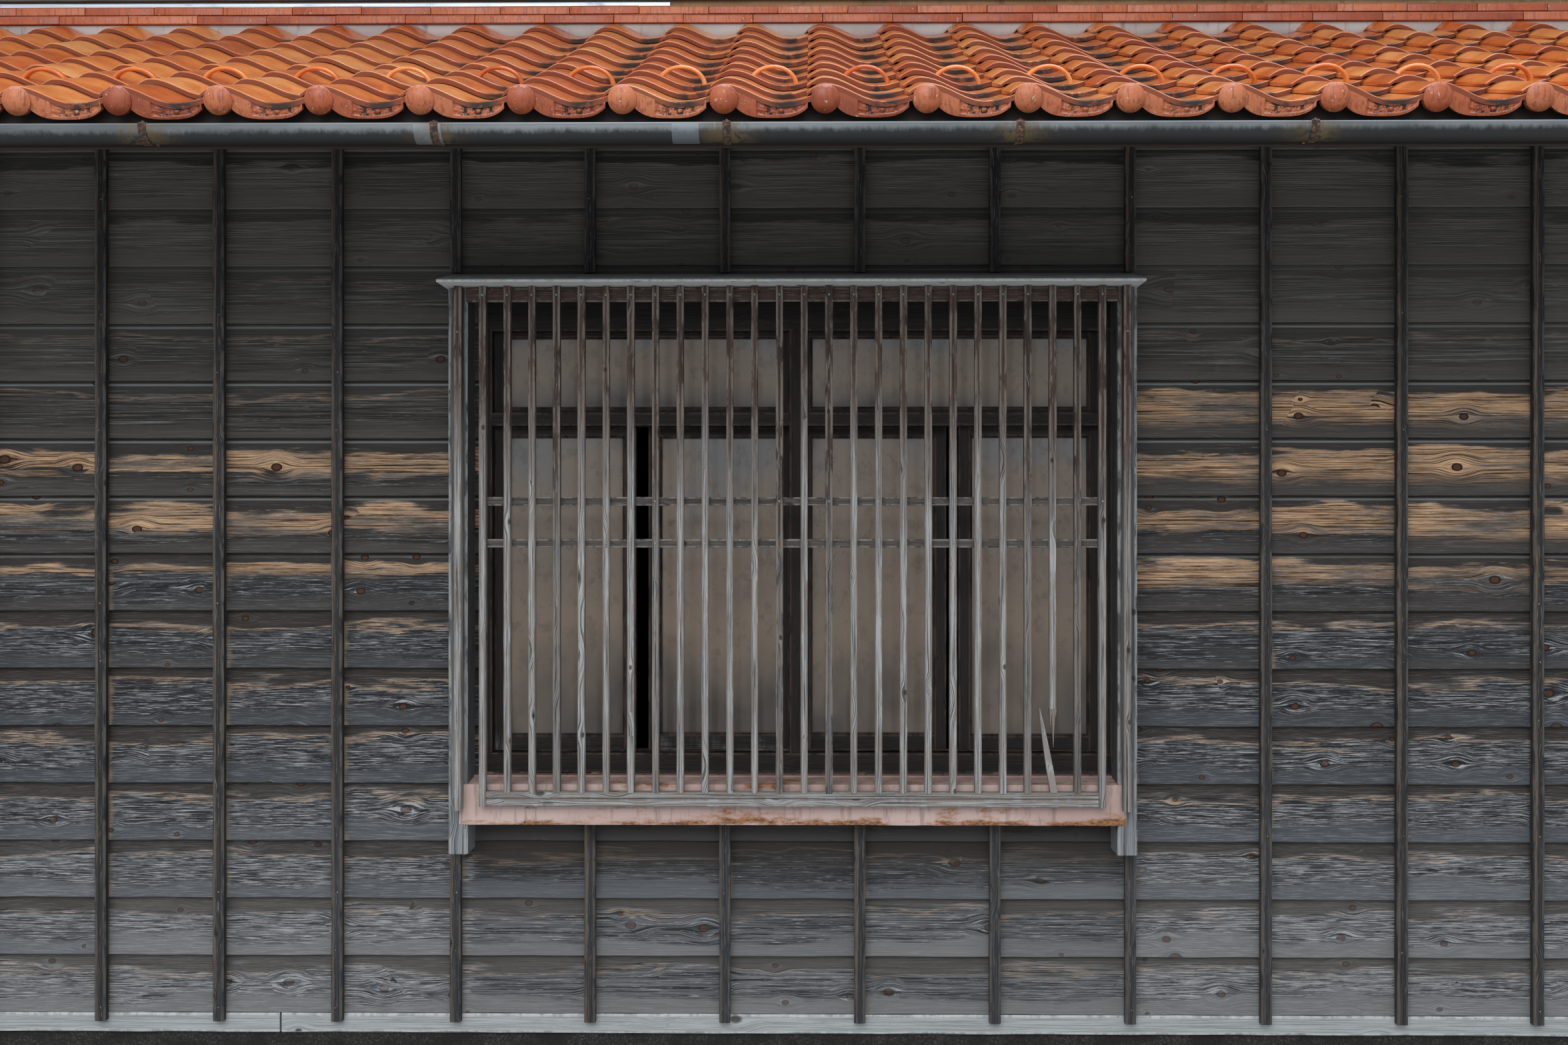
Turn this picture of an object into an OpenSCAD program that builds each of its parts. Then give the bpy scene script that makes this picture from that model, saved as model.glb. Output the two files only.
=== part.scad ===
// Townhouse of two storeys with a tiled pent roof over the street front.
// Origin: on the ground, under the middle of the front wall's outer face.
// +X runs along the street to the right, +Y into the house, +Z up. Millimetres.

/* [House] */
// Width along the street, divided into whole roof tiles
frontage = 6360; // [5300:10:7950]
// Depth from the front wall's outer face to the rear wall's
depth = 5454; // [4500:10:9000]
// Thickness of the walls
wall_t = 120; // [90:5:180]
// Distance that the upper street wall stands behind the lower one
upper_setback = 730; // [650:5:900]
// Height of the upper floor's top
upper_floor_z = 3100; // [3000:10:3140]
// Height of the upper walls' top at their outer face
upper_wall_top = 5400; // [5150:10:6000]

/* [Base and floors] */
// Height of the stone base
base_h = 120; // [60:5:300]
// Width of the stone base under each wall
base_w = 200; // [180:5:320]
// Distance that the base's front stands out from the wall's face
base_out = 10; // [0:1:24]
// Height of the front sill timber
sill_h = 66; // [40:1:120]
// Place of the butt joint in the front sill timber
sill_joint_x = -1772; // [-2600:1:-200]
// Thickness of the floor boards
floor_t = 40; // [20:1:60]

/* [Weatherboards and battens] */
// Exposed height of each weatherboard
board_gauge = 193; // [120:1:240]
// Distance that a board's lower edge stands out
board_butt = 26; // [14:1:40]
// Distance that a board's upper edge stands out
board_head = 6; // [2:1:12]
// Number of boards up the lower street wall
board_rows = 16; // [12:1:16]
// Width of the battens over the boards
batten_w = 38; // [24:1:60]
// Depth of the battens over the boards
batten_d = 30; // [15:1:45]
// Batten at the left end of the window, from which the bays are set out
batten_start_x = -1177; // [-1400:1:-900]
// Bay between battens to the right of it
bay_wide = 450; // [300:1:600]
// Bay between battens to the left of it
bay_narrow = 397; // [300:1:600]
// Length of a batten's foot over the front sill
batten_foot = 20; // [0:1:50]

/* [Street window] */
// Left side of the window opening
win_x0 = -1085; // [-1200:1:-1060]
// Right side of the window opening
win_x1 = 1020; // [980:1:1060]
// Height of the opening's sill
win_z0 = 992; // [800:1:1200]
// Height of the opening's head
win_z1 = 2610; // [2300:1:2700]
// Thickness of the frame in the opening
frame_t = 20; // [12:1:40]
// Height of the frame's bottom rail
frame_sill_h = 65; // [30:1:90]
// Underside of the frame's head board
frame_head_z = 2480; // [2300:1:2580]
// Middle of the mullion
mullion_x = -40; // [-200:1:200]
// Width of the mullion
mullion_w = 44; // [30:1:80]
// Underside of the transom rail
transom_z = 2160; // [1900:1:2250]
// Height of the transom rail
transom_h = 44; // [30:1:90]
// Width of the stiles at the opening's sides
side_stile = 50; // [25:1:60]
// Width of the stiles at the mullion
sash_stile = 28; // [20:1:50]
// Height of a sash's top rail
sash_head = 33; // [20:1:60]
// Height of the transom lights' rails
light_rail = 17; // [10:1:40]
// Width of the meeting stiles
meeting_stile = 41; // [20:1:60]
// Gap between the two sashes of a pair
meeting_gap = 38; // [10:1:60]
// Height of a sash's bottom rail
sash_foot = 54; // [30:1:90]
// Thickness of a sash
sash_t = 26; // [18:1:36]
// Thickness of the glass
glass_t = 4; // [3:1:8]

/* [Lattice] */
// Middle of the first bar
lattice_x0 = -1058; // [-1100:1:-1000]
// Distance from bar to bar
lattice_pitch = 80.5; // [60:0.5:120]
// Number of bars
lattice_bars = 26; // [16:1:26]
// Width of a bar
bar_w = 25; // [15:1:40]
// Depth of a bar
bar_d = 30; // [15:1:45]
// Face of the bars in front of the wall's face
lattice_out = 190; // [170:1:240]
// Underside of the bottom rail
lattice_z0 = 909; // [860:1:960]
// Height of the bottom rail
lattice_rail_h = 50; // [30:1:80]
// Depth of the rails and cross ties behind the bars
tie_d = 14; // [8:1:24]
// Height of each cross tie
tie_h = 28; // [10:1:40]
// Underside of the lower cross tie
tie_z = 1752; // [1500:1:1900]
// Distance from the lower cross tie to the upper one
tie_rise = 137; // [80:1:300]
// Number of the bar that is broken off
broken_bar = 23; // [2:1:24]
// Height at which it is broken off
broken_z = 1210; // [1100:1:1700]
// Height of the loose splinter that leans beside it
splinter_z = 1231; // [1050:1:1300]
// Distance that the splinter's top leans to the left
splinter_lean = 66; // [20:1:75]
// Clear width between the outer bars and the jamb boards
jamb_gap = 44; // [30:1:60]

/* [Window hood, jambs and flashing] */
// How far the hood passes the left jamb board
hood_past_left = 9.2; // [1:0.1:120]
// How far the hood passes the right jamb board
hood_past_right = 2.7; // [1:0.1:120]
// Front edge of the hood in front of the wall's face
hood_out = 270; // [245:1:320]
// Thickness of the hood's front edge
hood_edge = 10; // [8:1:30]
// Distance of the hood's underside below the opening's head
hood_drop = 6; // [0:1:20]
// Rise of the hood from its front edge to the wall
hood_rise = 54; // [30:1:90]
// Width of the jamb boards' front edge
jamb_t = 64; // [40:1:64]
// Lower end of the jamb boards
jamb_z0 = 747; // [700:1:850]
// Face of the metal flashing in front of the wall's face
flashing_out = 150; // [120:1:158]
// Height of the flashing's front
flashing_h = 133; // [80:1:140]
// Upper edge of the flashing's front
flashing_top = 977; // [940:1:985]
// Thickness of the sheet metal as built
sheet_t = 4; // [2:1:6]

/* [Pent roof] */
// Width of one tile column
tile_pitch = 265; // [240:1:300]
// Horizontal length of one course
course_run = 210; // [180:1:230]
// Number of courses
courses = 9; // [9:1:9]
// Front edge of the eave tiles in front of the wall's face
eave_out = 1140; // [1000:10:1200]
// Height of the roof boards' top at that edge
eave_z = 2900; // [2880:1:2960]
// Slope at the eave
slope_eave = 0.378; // [0.36:0.002:0.4]
// Gain in slope from course to course
slope_gain = 0.0105; // [0:0.0005:0.012]
// Height of a tile's roll above its pan
tile_roll = 45; // [30:1:60]
// Thickness of a tile
tile_t = 15; // [10:1:20]
// Length of tile hidden under the next course
tile_lap = 50; // [30:1:70]
// Distance from the roll's top to the tile's left edge
roll_left = 48; // [40:1:60]
// Distance from the roll's top to the pan's bottom
pan_right = 150; // [120:1:160]
// Rise of the pan's free edge
pan_lip = 12; // [4:1:16]
// Thickness of the roof boards
deck_t = 12; // [9:1:20]
// Height of the tile battens on the main roof
tile_batten_h = 19; // [12:1:30]
// Width of a rafter
rafter_w = 45; // [30:1:60]
// Height of a rafter
rafter_h = 60; // [45:1:75]
// Distance from rafter to rafter
rafter_bay = 454; // [300:1:500]
// Height of the fascia board at the eave
fascia_h = 103; // [90:1:115]
// Thickness of the fascia board
fascia_t = 20; // [15:1:30]

/* [Eave tiles and snow guards] */
// Diameter of the round end on each roll
ball_d = 76; // [60:1:90]
// Distance that the round end bulges out
ball_bulge = 16; // [8:1:26]
// Height of the hanging face under each pan
pendant_h = 41; // [30:1:60]
// Thickness of the hanging face
pendant_t = 18; // [10:1:30]
// Width of a snow guard's loop
guard_w = 145; // [120:1:150]
// Height of a snow guard's loop above the pan
guard_h = 58; // [40:1:70]
// Thickness of a snow guard's band
guard_t = 12; // [8:1:16]
// Depth of a snow guard's band
guard_d = 24; // [15:1:40]
// Middle of a snow guard's loop from the roll's top
guard_mid = 118; // [112:1:125]
// Distance of a snow guard behind its tile's front edge
guard_back = 12; // [4:1:40]
// Course that carries the snow guards
guard_course = 2; // [1:1:5]

/* [Top of the pent roof] */
// Distance of the plaster band's face from the upper wall
plaster_d = 55; // [40:1:70]
// Underside of the flat ridge tiles
noshi_z = 3736; // [3730:1:3760]
// Height of one course of flat ridge tiles
noshi_h = 36; // [25:1:45]
// Distance that they stand out beyond the plaster band
noshi_lip = 15; // [5:1:30]
// Distance that the upper of the two courses stands back
noshi_step = 8; // [2:1:15]
// Length of the metal strip along the upper wall's foot
strip_len = 2650; // [1000:10:6000]
// Height of that strip
strip_h = 22; // [12:1:40]

/* [Gutters] */
// Inner radius of the pent roof's half-round gutter
gutter_r = 38; // [35:1:50]
// Inner radius of the main roof's half-round gutters, which take more water
main_gutter_r = 50; // [45:1:52]
// Thickness of the gutter as built
gutter_t = 2.5; // [1.5:0.5:4]
// Radius of the rolled front edge
gutter_bead = 5; // [3:1:8]
// Middle of the gutter in front of the wall's face
gutter_out = 1160; // [1148:1:1200]
// Height of the gutter's upper edge
gutter_z = 2864; // [2850:1:2876]
// Distance from hanger to hanger
hanger_bay = 757.5; // [455:0.5:910]
// Place of one hanger
hanger_x = -207; // [-300:1:-100]
// Width of a hanger's strap
hanger_w = 20; // [12:1:30]
// Thickness of a hanger's strap and half that of its arm
strap_t = 3; // [2:0.5:5]
// Depth of a hanger's arm at the strap
strap_drop = 25; // [15:1:35]
// Middle of a main gutter in front of the main rafters' ends
main_gutter_out = 90; // [80:1:110]
// Height of a main gutter's edge over the main rafters' lower corner
main_gutter_rise = 25; // [0:1:28]

/* [Upper street wall] */
// Height of the lowest weatherboard's edge
upper_board_z = 3840; // [3830:1:3900]
// Height of the upper window's sill
up_win_z0 = 4250; // [4100:1:4400]
// Height of the upper window's head
up_win_z1 = 5000; // [4800:1:5100]
// Distance of the upper lattice's face in front of the wall's face
up_lattice_out = 70; // [60:1:120]
// Height of the upper lattice's rails
up_rail_h = 45; // [30:1:60]
// Width of the upper lattice's end posts
up_post_w = 44; // [30:1:60]
// Width of the upper window frame's posts
up_frame_w = 50; // [35:1:70]
// Height of the upper window frame's sill
up_frame_sill = 55; // [40:1:80]
// Height of the upper window frame's head
up_frame_head = 45; // [35:1:70]
// Width of the upper window's middle post
up_mid_w = 80; // [40:1:100]

/* [Rear wall] */
// Left side of the rear door
door_x0 = 600; // [300:10:900]
// Width of the rear door
door_w = 900; // [750:10:1200]
// Height of the rear door's head above the base
door_h = 1860; // [1750:10:2100]
// Width of the rear door's frame
door_frame_w = 35; // [25:1:60]
// Thickness of each leaf of the rear door
door_leaf_t = 30; // [20:1:35]
// Overlap of the two leaves
door_lap = 50; // [20:1:80]
// Left side of the rear windows
rear_win_x0 = -2100; // [-2400:10:-1800]
// Width of the rear windows
rear_win_w = 1700; // [1200:10:1900]
// Height of the lower rear window's sill
rear_win_z0 = 1050; // [900:10:1200]
// Height of the rear windows
rear_win_h = 900; // [600:10:1100]
// Height of the upper rear window's sill
rear_up_z0 = 3900; // [3700:10:4100]
// Width of the rear window frames' members
rear_frame_w = 40; // [30:1:60]
// Depth of the rear window frames
rear_frame_d = 90; // [60:1:90]

/* [Main roof] */
// Slope of the main roof
main_slope = 0.43; // [0.35:0.01:0.5]
// Overhang of the main eaves, measured level
main_over = 750; // [500:10:900]
// Height of the main rafters
main_rafter_h = 75; // [60:1:105]
// Distance that the roof runs past the party walls' faces
verge_over = 0; // [0:5:60]
// Height of the ridge's stack of flat tiles
ridge_h = 150; // [80:5:250]
// Width of the ridge's stack of flat tiles
ridge_w = 230; // [180:5:300]
// Distance that the stack's upper tiers stand back
ridge_step = 15; // [5:1:30]
// Radius of the round ridge cap
ridge_cap_r = 75; // [50:1:100]

/* [Hidden] */

seat = 0.3;                         // gap at a seat
half = frontage / 2;
sill_top = base_h + sill_h;
board_top = sill_top + board_rows * board_gauge;
inner_x = half - wall_t;
rear_y = depth - wall_t;
up_y = upper_setback;
ridge_y = (up_y + depth) / 2;
columns = round(frontage / tile_pitch);
pitch = frontage / columns;         // tile column as laid
hood_z = win_z1 - hood_drop;

// Pent roof line: front of each course on the roof boards
function course_y(k) = -eave_out + k * course_run;
function course_slope(k) = slope_eave + slope_gain * k;
function course_z(k) = eave_z + course_run * (slope_eave * k + slope_gain * k * (k - 1) / 2);
function pent_k(y) = floor((y + eave_out) / course_run);
function pent_z(y) = course_z(pent_k(y)) + (y - course_y(pent_k(y))) * course_slope(pent_k(y));
function drop(t, slope) = t * sqrt(1 + slope * slope);
tile_step = tile_t + seat;
course_len = course_run * sqrt(1 + slope_eave * slope_eave);
tile_tilt = atan(tile_step / course_len);
tile_lift = (course_len + tile_lap) * tile_step / course_len + 1;

fascia_up = 18;                     // fascia's top over the roof boards
infill_in = 20;                     // wall infill behind the wall's face
infill_t = 25;
top_gap = 25;                       // behind the top course, before the upper wall
board_clear = 20;                   // least height from the top board to the rafters
tie_let = 6;                        // depth that ties are let into the bars
stile_drop = 12;                    // length of the end stiles below the bottom rail
up_side = 30;                       // upper lattice beyond its opening
rail_in = 3;                        // rails' faces behind the bars'

// Main roof line: underside of the rafters
function main_z(y) = upper_wall_top + main_slope * (y < ridge_y ? y - up_y : depth - y);
main_angle = atan(main_slope);
main_deck_n = main_rafter_h + deck_t;
main_eave_z = upper_wall_top - main_slope * main_over;
main_fascia_t = 22;
main_fascia_low = 20;               // fascia's lower edge below the rafters
end_clear = 100;                    // least distance of a hanger from the gutter's end
arm_low = 32;                       // a hanger arm's end on the fascia, below the gutter's edge
arm_high = 12;
main_len = (ridge_y - up_y + main_over) / cos(main_angle);

// Height of a tile's upper face above the bottom of its pan, u from the roll's top
function tile_h(u) =
  u < 0 ? tile_roll * (0.5 + 0.5 * cos(180 * u / (2.03 * roll_left)))
  : u < pan_right ? tile_roll * (0.5 + 0.5 * cos(180 * u / pan_right))
  : pan_lip * pow((u - pan_right) / (pitch - roll_left - pan_right), 2);
function roll_x(i) = -half + roll_left + i * pitch;
// Wave line across n tiles; back moves the joints left, to clear the tile that it lies on
function tile_line(steps, n, back = 0) = [
  for (i = [0 : n - 1], j = [0 : len(steps) - 1])
    [roll_x(i) + steps[j] - ((j == 0 && i > 0) || j == len(steps) - 1 ? back : 0), tile_h(steps[j])]
];
fine_steps = [for (s = [-1, -0.66, -0.33, 0]) s * roll_left,
  for (s = [1 : 6]) s * pan_right / 6,
  for (s = [1, 2]) pan_right + s * (pitch - roll_left - pan_right) / 2];
plain_steps = [-roll_left, -0.4 * roll_left, for (s = [0.15 : 0.2833 : 1]) s * pan_right,
  pitch - roll_left];
function raised(line, d) = [for (p = line) [p[0], p[1] + d]];
function reversed(line) = [for (i = [len(line) - 1 : -1 : 0]) line[i]];

// Extrudes an outline in Y and Z along X
module along_x(x0, x1, outline) {
  translate([x0, 0, 0]) rotate([90, 0, 90]) linear_extrude(x1 - x0) polygon(outline);
}

// Extrudes a flat shape in X and Z from y0 to y1
module along_y(y0, y1) {
  translate([0, y1, 0]) rotate([90, 0, 0]) linear_extrude(y1 - y0) children();
}

module block(x0, x1, y0, y1, z0, z1) {
  translate([x0, y0, z0]) cube([x1 - x0, y1 - y0, z1 - z0]);
}

module rect(x0, x1, z0, z1) {
  translate([x0, z0]) square([x1 - x0, z1 - z0]);
}

// Base and floors

module foundation() {
  color("dimgray") difference() {
    block(-half, half, -base_out, depth + base_out, 0, base_h);
    block(-half + base_w, half - base_w, base_w, depth - base_w, -1, base_h + 1);
  }
}

module ground_floor() {
  color("sienna") block(-inner_x, inner_x, wall_t, rear_y, base_h, base_h + floor_t);
}

module upper_floor() {
  color("sienna") block(-inner_x, inner_x, wall_t, rear_y, upper_floor_z - floor_t, upper_floor_z);
}

module front_sill() {
  color("silver") for (e = [[-half, sill_joint_x - seat], [sill_joint_x + seat, half]])
    block(e[0], e[1], -board_butt, wall_t, base_h, sill_top);
}

// Lapped boards on a wall's face: a saw-tooth line from z0 up
function lapped(z0, rows) = [
  for (i = [0 : rows - 1])
    each [[-board_butt, z0 + i * board_gauge], [-board_head, z0 + (i + 1) * board_gauge]]
];
function pent_under(y) = pent_z(y) - drop(deck_t + rafter_h, course_slope(pent_k(y)));
front_outline = concat([[wall_t, sill_top]], lapped(sill_top, board_rows),
  [[0, board_top], [0, pent_under(0)], [wall_t, pent_under(wall_t)]]);

module front_wall_piece(x0, x1, z0, z1) {
  intersection() {
    along_x(x0, x1, front_outline);
    block(x0 - 1, x1 + 1, -2 * board_butt, 2 * wall_t, z0, z1);
  }
}

module front_wall_left() {
  color("#3a3834") front_wall_piece(-half, win_x0, 0, upper_wall_top);
}

module front_wall_right() {
  color("#3a3834") front_wall_piece(win_x1, half, 0, upper_wall_top);
}

module front_wall_above() {
  color("#3a3834") front_wall_piece(win_x0, win_x1, win_z1, upper_wall_top);
}

module front_wall_below() {
  color("#3a3834") front_wall_piece(win_x0, win_x1, 0, win_z0);
}

// Battens, cut short at the hood above the window and at the flashing below it
batten_y = -board_butt - seat;
hood_back_z = hood_z + hood_edge + hood_rise;
batten_right_n = floor((half - batten_w - batten_start_x) / bay_wide);
batten_left_n = floor((half - batten_w + batten_start_x) / bay_narrow);
batten_xs = concat(
  [for (i = [batten_left_n : -1 : 1]) batten_start_x - i * bay_narrow],
  [for (i = [0 : batten_right_n]) batten_start_x + i * bay_wide]);

module batten(x, z0, z1) {
  block(x - batten_w / 2, x + batten_w / 2, batten_y - batten_d, batten_y, z0, z1);
}

module front_battens() {
  foot = sill_top - batten_foot;
  under_flashing = flashing_top - flashing_h - seat;
  color("#2b2825") for (x = batten_xs)
    if (x + batten_w / 2 > hood_x0 && x - batten_w / 2 < hood_x1) {
      // Those between the jamb boards reach the flashing, and the outer ones stop at a jamb's foot.
      between = x - batten_w / 2 > jamb_x0 + seat && x + batten_w / 2 < jamb_x1 - seat;
      batten(x, foot, between ? under_flashing : min(jamb_z0 - seat, under_flashing));
      batten(x, hood_back_z + seat, board_top);
    } else
      batten(x, foot, board_top);
}

// Street window

module window_hood() {
  edge = hood_z + hood_edge;
  color("#8d8f8c") along_x(hood_x0, hood_x1, [
    [-hood_out, hood_z], [-board_butt - seat, hood_z], [-board_butt - seat, edge + hood_rise],
    [-hood_out, edge]]);
}

lattice_x1 = lattice_x0 + (lattice_bars - 1) * lattice_pitch;
jamb_x0 = lattice_x0 - bar_w / 2 - jamb_gap;
jamb_x1 = lattice_x1 + bar_w / 2 + jamb_gap;
stile_in = 24;                      // middle of an end stile from its jamb board's inner edge
hood_x0 = jamb_x0 - seat - jamb_t - hood_past_left;
hood_x1 = jamb_x1 + seat + jamb_t + hood_past_right;
jamb_front = sheet_t + seat - flashing_out;
flashing_side = 28;                 // part of the flashing's front that covers a jamb board

module window_jambs() {
  color("#3b2f2a") {
    block(jamb_x0 - seat - jamb_t, jamb_x0 - seat, jamb_front, -board_butt - seat,
      jamb_z0, hood_z - seat);
    block(jamb_x1 + seat, jamb_x1 + seat + jamb_t, jamb_front, -board_butt - seat,
      jamb_z0, hood_z - seat);
  }
}

// Sheet metal over the sill: sloping top and hanging front
module window_flashing() {
  top_back = win_z0 - seat;
  front = -flashing_out;
  back = -board_butt - seat;
  color("#c9a9a0") {
    along_x(jamb_x0, jamb_x1, [
      [front, flashing_top - flashing_h], [front, flashing_top], [back, top_back],
      [back, top_back - sheet_t], [front + sheet_t, flashing_top - sheet_t],
      [front + sheet_t, flashing_top - flashing_h]]);
    block(jamb_x0 - flashing_side, jamb_x1 + flashing_side, front, front + sheet_t,
      flashing_top - flashing_h, flashing_top);
  }
}

glass_x0 = win_x0 + frame_t;
glass_x1 = win_x1 - frame_t;

module window_frame() {
  mid0 = mullion_x - mullion_w / 2;
  mid1 = mullion_x + mullion_w / 2;
  color("#241d1a") along_y(0, wall_t) difference() {
    rect(win_x0, win_x1, win_z0, win_z1);
    for (s = [[glass_x0, mid0], [mid1, glass_x1]]) {
      rect(s[0], s[1], win_z0 + frame_sill_h, transom_z);
      rect(s[0], s[1], transom_z + transom_h, frame_head_z);
    }
  }
}

// Four lower sashes in two tracks, and two transom lights
sash_y = 40;
track = sash_t + 4;
left_half = mullion_x - mullion_w / 2 - glass_x0;
right_half = glass_x1 - mullion_x - mullion_w / 2;
function pair(x0, w, flip) = [
  [x0, x0 + (w - meeting_gap) / 2, flip ? 1 : 0, flip ? sash_stile : side_stile, meeting_stile],
  [x0 + (w + meeting_gap) / 2, x0 + w, flip ? 0 : 1, meeting_stile, flip ? side_stile : sash_stile]
];
lower_sashes = concat(pair(glass_x0, left_half, false),
  pair(mullion_x + mullion_w / 2, right_half, true));
lights = [[glass_x0, glass_x0 + left_half, side_stile, sash_stile],
  [mullion_x + mullion_w / 2, glass_x1, sash_stile, side_stile]];

module sash_ring(x0, x1, z0, z1, left, right, foot, head, y) {
  along_y(y, y + sash_t) difference() {
    rect(x0 + seat, x1 - seat, z0 + seat, z1 - seat);
    rect(x0 + left, x1 - right, z0 + foot, z1 - head);
  }
}

module window_sashes() {
  color("#2a211d") {
    for (s = lower_sashes)
      sash_ring(s[0], s[1], win_z0 + frame_sill_h, transom_z, s[3], s[4], sash_foot,
        sash_head, sash_y + s[2] * track);
    for (s = lights)
      sash_ring(s[0], s[1], transom_z + transom_h, frame_head_z, s[2], s[3],
        light_rail, light_rail, sash_y);
  }
}

module pane(x0, x1, z0, z1, y) {
  block(x0 + seat, x1 - seat, y, y + glass_t, z0 + seat, z1 - seat);
}

module window_glass() {
  mid = (sash_t - glass_t) / 2;
  color("#8c7f72") {
    for (s = lower_sashes)
      pane(s[0] + s[3], s[1] - s[4], win_z0 + frame_sill_h + sash_foot,
        transom_z - sash_head, sash_y + s[2] * track + mid);
    for (s = lights)
      pane(s[0] + s[2], s[1] - s[3], transom_z + transom_h + light_rail,
        frame_head_z - light_rail, sash_y + mid);
  }
}

// Lattice: bars fused with the rails and ties behind them, in front of the flashing
module lattice() {
  front = -lattice_out;
  rail_top = lattice_z0 + lattice_rail_h;
  top = hood_z - seat;
  back = front + bar_d;
  color("#5a4a42") {
    for (i = [0 : lattice_bars - 1]) {
      x = lattice_x0 + i * lattice_pitch;
      z0 = i == 0 || i == lattice_bars - 1 ? lattice_z0 : i == broken_bar ? broken_z
        : rail_top - lattice_rail_h / 2;
      block(x - bar_w / 2, x + bar_w / 2, front, back, z0, top);
    }
    block(lattice_x0, lattice_x1, front + rail_in, back + tie_d / 2, lattice_z0, rail_top);
    for (z = [tie_z, tie_z + tie_rise])
      block(lattice_x0, lattice_x1, back - tie_let, back + tie_d / 2, z, z + tie_h);
    block(jamb_x0, jamb_x1, back - tie_let, back + tie_d / 2, top - lattice_rail_h, top - rail_in);
    // End stiles on the jamb boards' faces, clear of the rails
    for (x = [jamb_x0 - stile_in, jamb_x1 + stile_in])
      block(x - bar_w / 2, x + bar_w / 2, front, -flashing_out - seat, lattice_z0 - stile_drop, top);
    splinter(lattice_x0 + broken_bar * lattice_pitch, front, rail_top);
  }
}

// What is left of the broken bar's foot: split off, its top leaning to the left
module splinter(x, front, foot) {
  along_y(front + rail_in, front + bar_d - tie_let)
    polygon([[x - bar_w / 2, foot - 1], [x + bar_w / 2, foot - 1],
      [x - splinter_lean + bar_w / 6, splinter_z], [x - splinter_lean, splinter_z]]);
}

// Party walls, with the pent roof's slope at the front and the gable above

party_outline = [
  [wall_t, base_h], [rear_y, base_h], [rear_y, main_z(rear_y)], [ridge_y, main_z(ridge_y)],
  [up_y + wall_t, main_z(up_y + wall_t)], [up_y + wall_t, upper_floor_z], [up_y, upper_floor_z],
  for (k = [pent_k(up_y) : -1 : pent_k(wall_t)])
    each [[k == pent_k(up_y) ? up_y : course_y(k + 1),
      pent_under(k == pent_k(up_y) ? up_y : course_y(k + 1) - 0.01)]],
  [wall_t, pent_under(wall_t)]
];

module party_wall_left() {
  color("#9c8f80") along_x(-half, -inner_x, party_outline);
}

module party_wall_right() {
  color("#9c8f80") along_x(inner_x, half, party_outline);
}

// Rear wall with its door and windows

rear_board_z = base_h + floor_t;
rear_rows = floor((main_z(depth) - rear_board_z - board_clear) / board_gauge);
rear_outline = concat(
  [[rear_y, base_h], [depth, base_h], [depth, rear_board_z]],
  [for (p = lapped(rear_board_z, rear_rows)) [depth - p[0], p[1]]],
  [[depth, rear_board_z + rear_rows * board_gauge], [depth, main_z(depth)],
    [rear_y, main_z(rear_y)]]);
door_x1 = door_x0 + door_w;
rear_win_x1 = rear_win_x0 + rear_win_w;
rear_wins = [[rear_win_z0, rear_win_z0 + rear_win_h], [rear_up_z0, rear_up_z0 + rear_win_h]];

module rear_wall() {
  color("#3a3834") difference() {
    along_x(-half, half, rear_outline);
    along_y(rear_y - 1, depth + 2 * board_butt) {
      rect(door_x0, door_x1, base_h + floor_t, base_h + door_h);
      for (w = rear_wins)
        rect(rear_win_x0, rear_win_x1, w[0], w[1]);
    }
  }
}

// Two board doors in a frame, the right one behind
module rear_door() {
  z0 = base_h + floor_t;
  z1 = base_h + door_h;
  x0 = door_x0 + door_frame_w;
  x1 = door_x1 - door_frame_w;
  mid = (door_x0 + door_x1) / 2;
  module leaf(a, b, back) {
    block(a, b, depth - back - door_leaf_t, depth - back, z0 + door_frame_w, z1 - door_frame_w);
  }
  color("#4a3a30") {
    along_y(rear_y, depth) difference() {
      rect(door_x0, door_x1, z0, z1);
      rect(x0, x1, z0 + door_frame_w, z1 - door_frame_w);
    }
    leaf(x0, mid + door_lap / 2, door_frame_w / 2);
    leaf(mid - door_lap / 2, x1, door_frame_w / 2 + door_leaf_t + door_play);
  }
}
door_play = 3;

function rear_lights() = let (f = rear_frame_w, mid = (rear_win_x0 + rear_win_x1) / 2)
  [[rear_win_x0 + f, mid - f / 2], [mid + f / 2, rear_win_x1 - f]];

module rear_windows() {
  f = rear_frame_w;
  color("#2a211d") along_y(depth - rear_frame_d, depth) for (w = rear_wins) difference() {
    rect(rear_win_x0, rear_win_x1, w[0], w[1]);
    for (s = rear_lights())
      rect(s[0], s[1], w[0] + f, w[1] - f);
  }
}

module rear_glass() {
  f = rear_frame_w;
  color("#8c7f72") for (w = rear_wins, s = rear_lights())
    pane(s[0], s[1], w[0] + f, w[1] - f, depth - rear_frame_d / 2);
}

// Pent roof

deck_k = pent_k(up_y);
deck_front = -eave_out + 40;
function deck_line(n) = [
  [deck_front, pent_z(deck_front) - drop(n, slope_eave)],
  for (k = [1 : deck_k]) [course_y(k), course_z(k) - drop(n, course_slope(k - 1))],
  [up_y, pent_z(up_y) - drop(n, course_slope(deck_k))]
];

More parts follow.
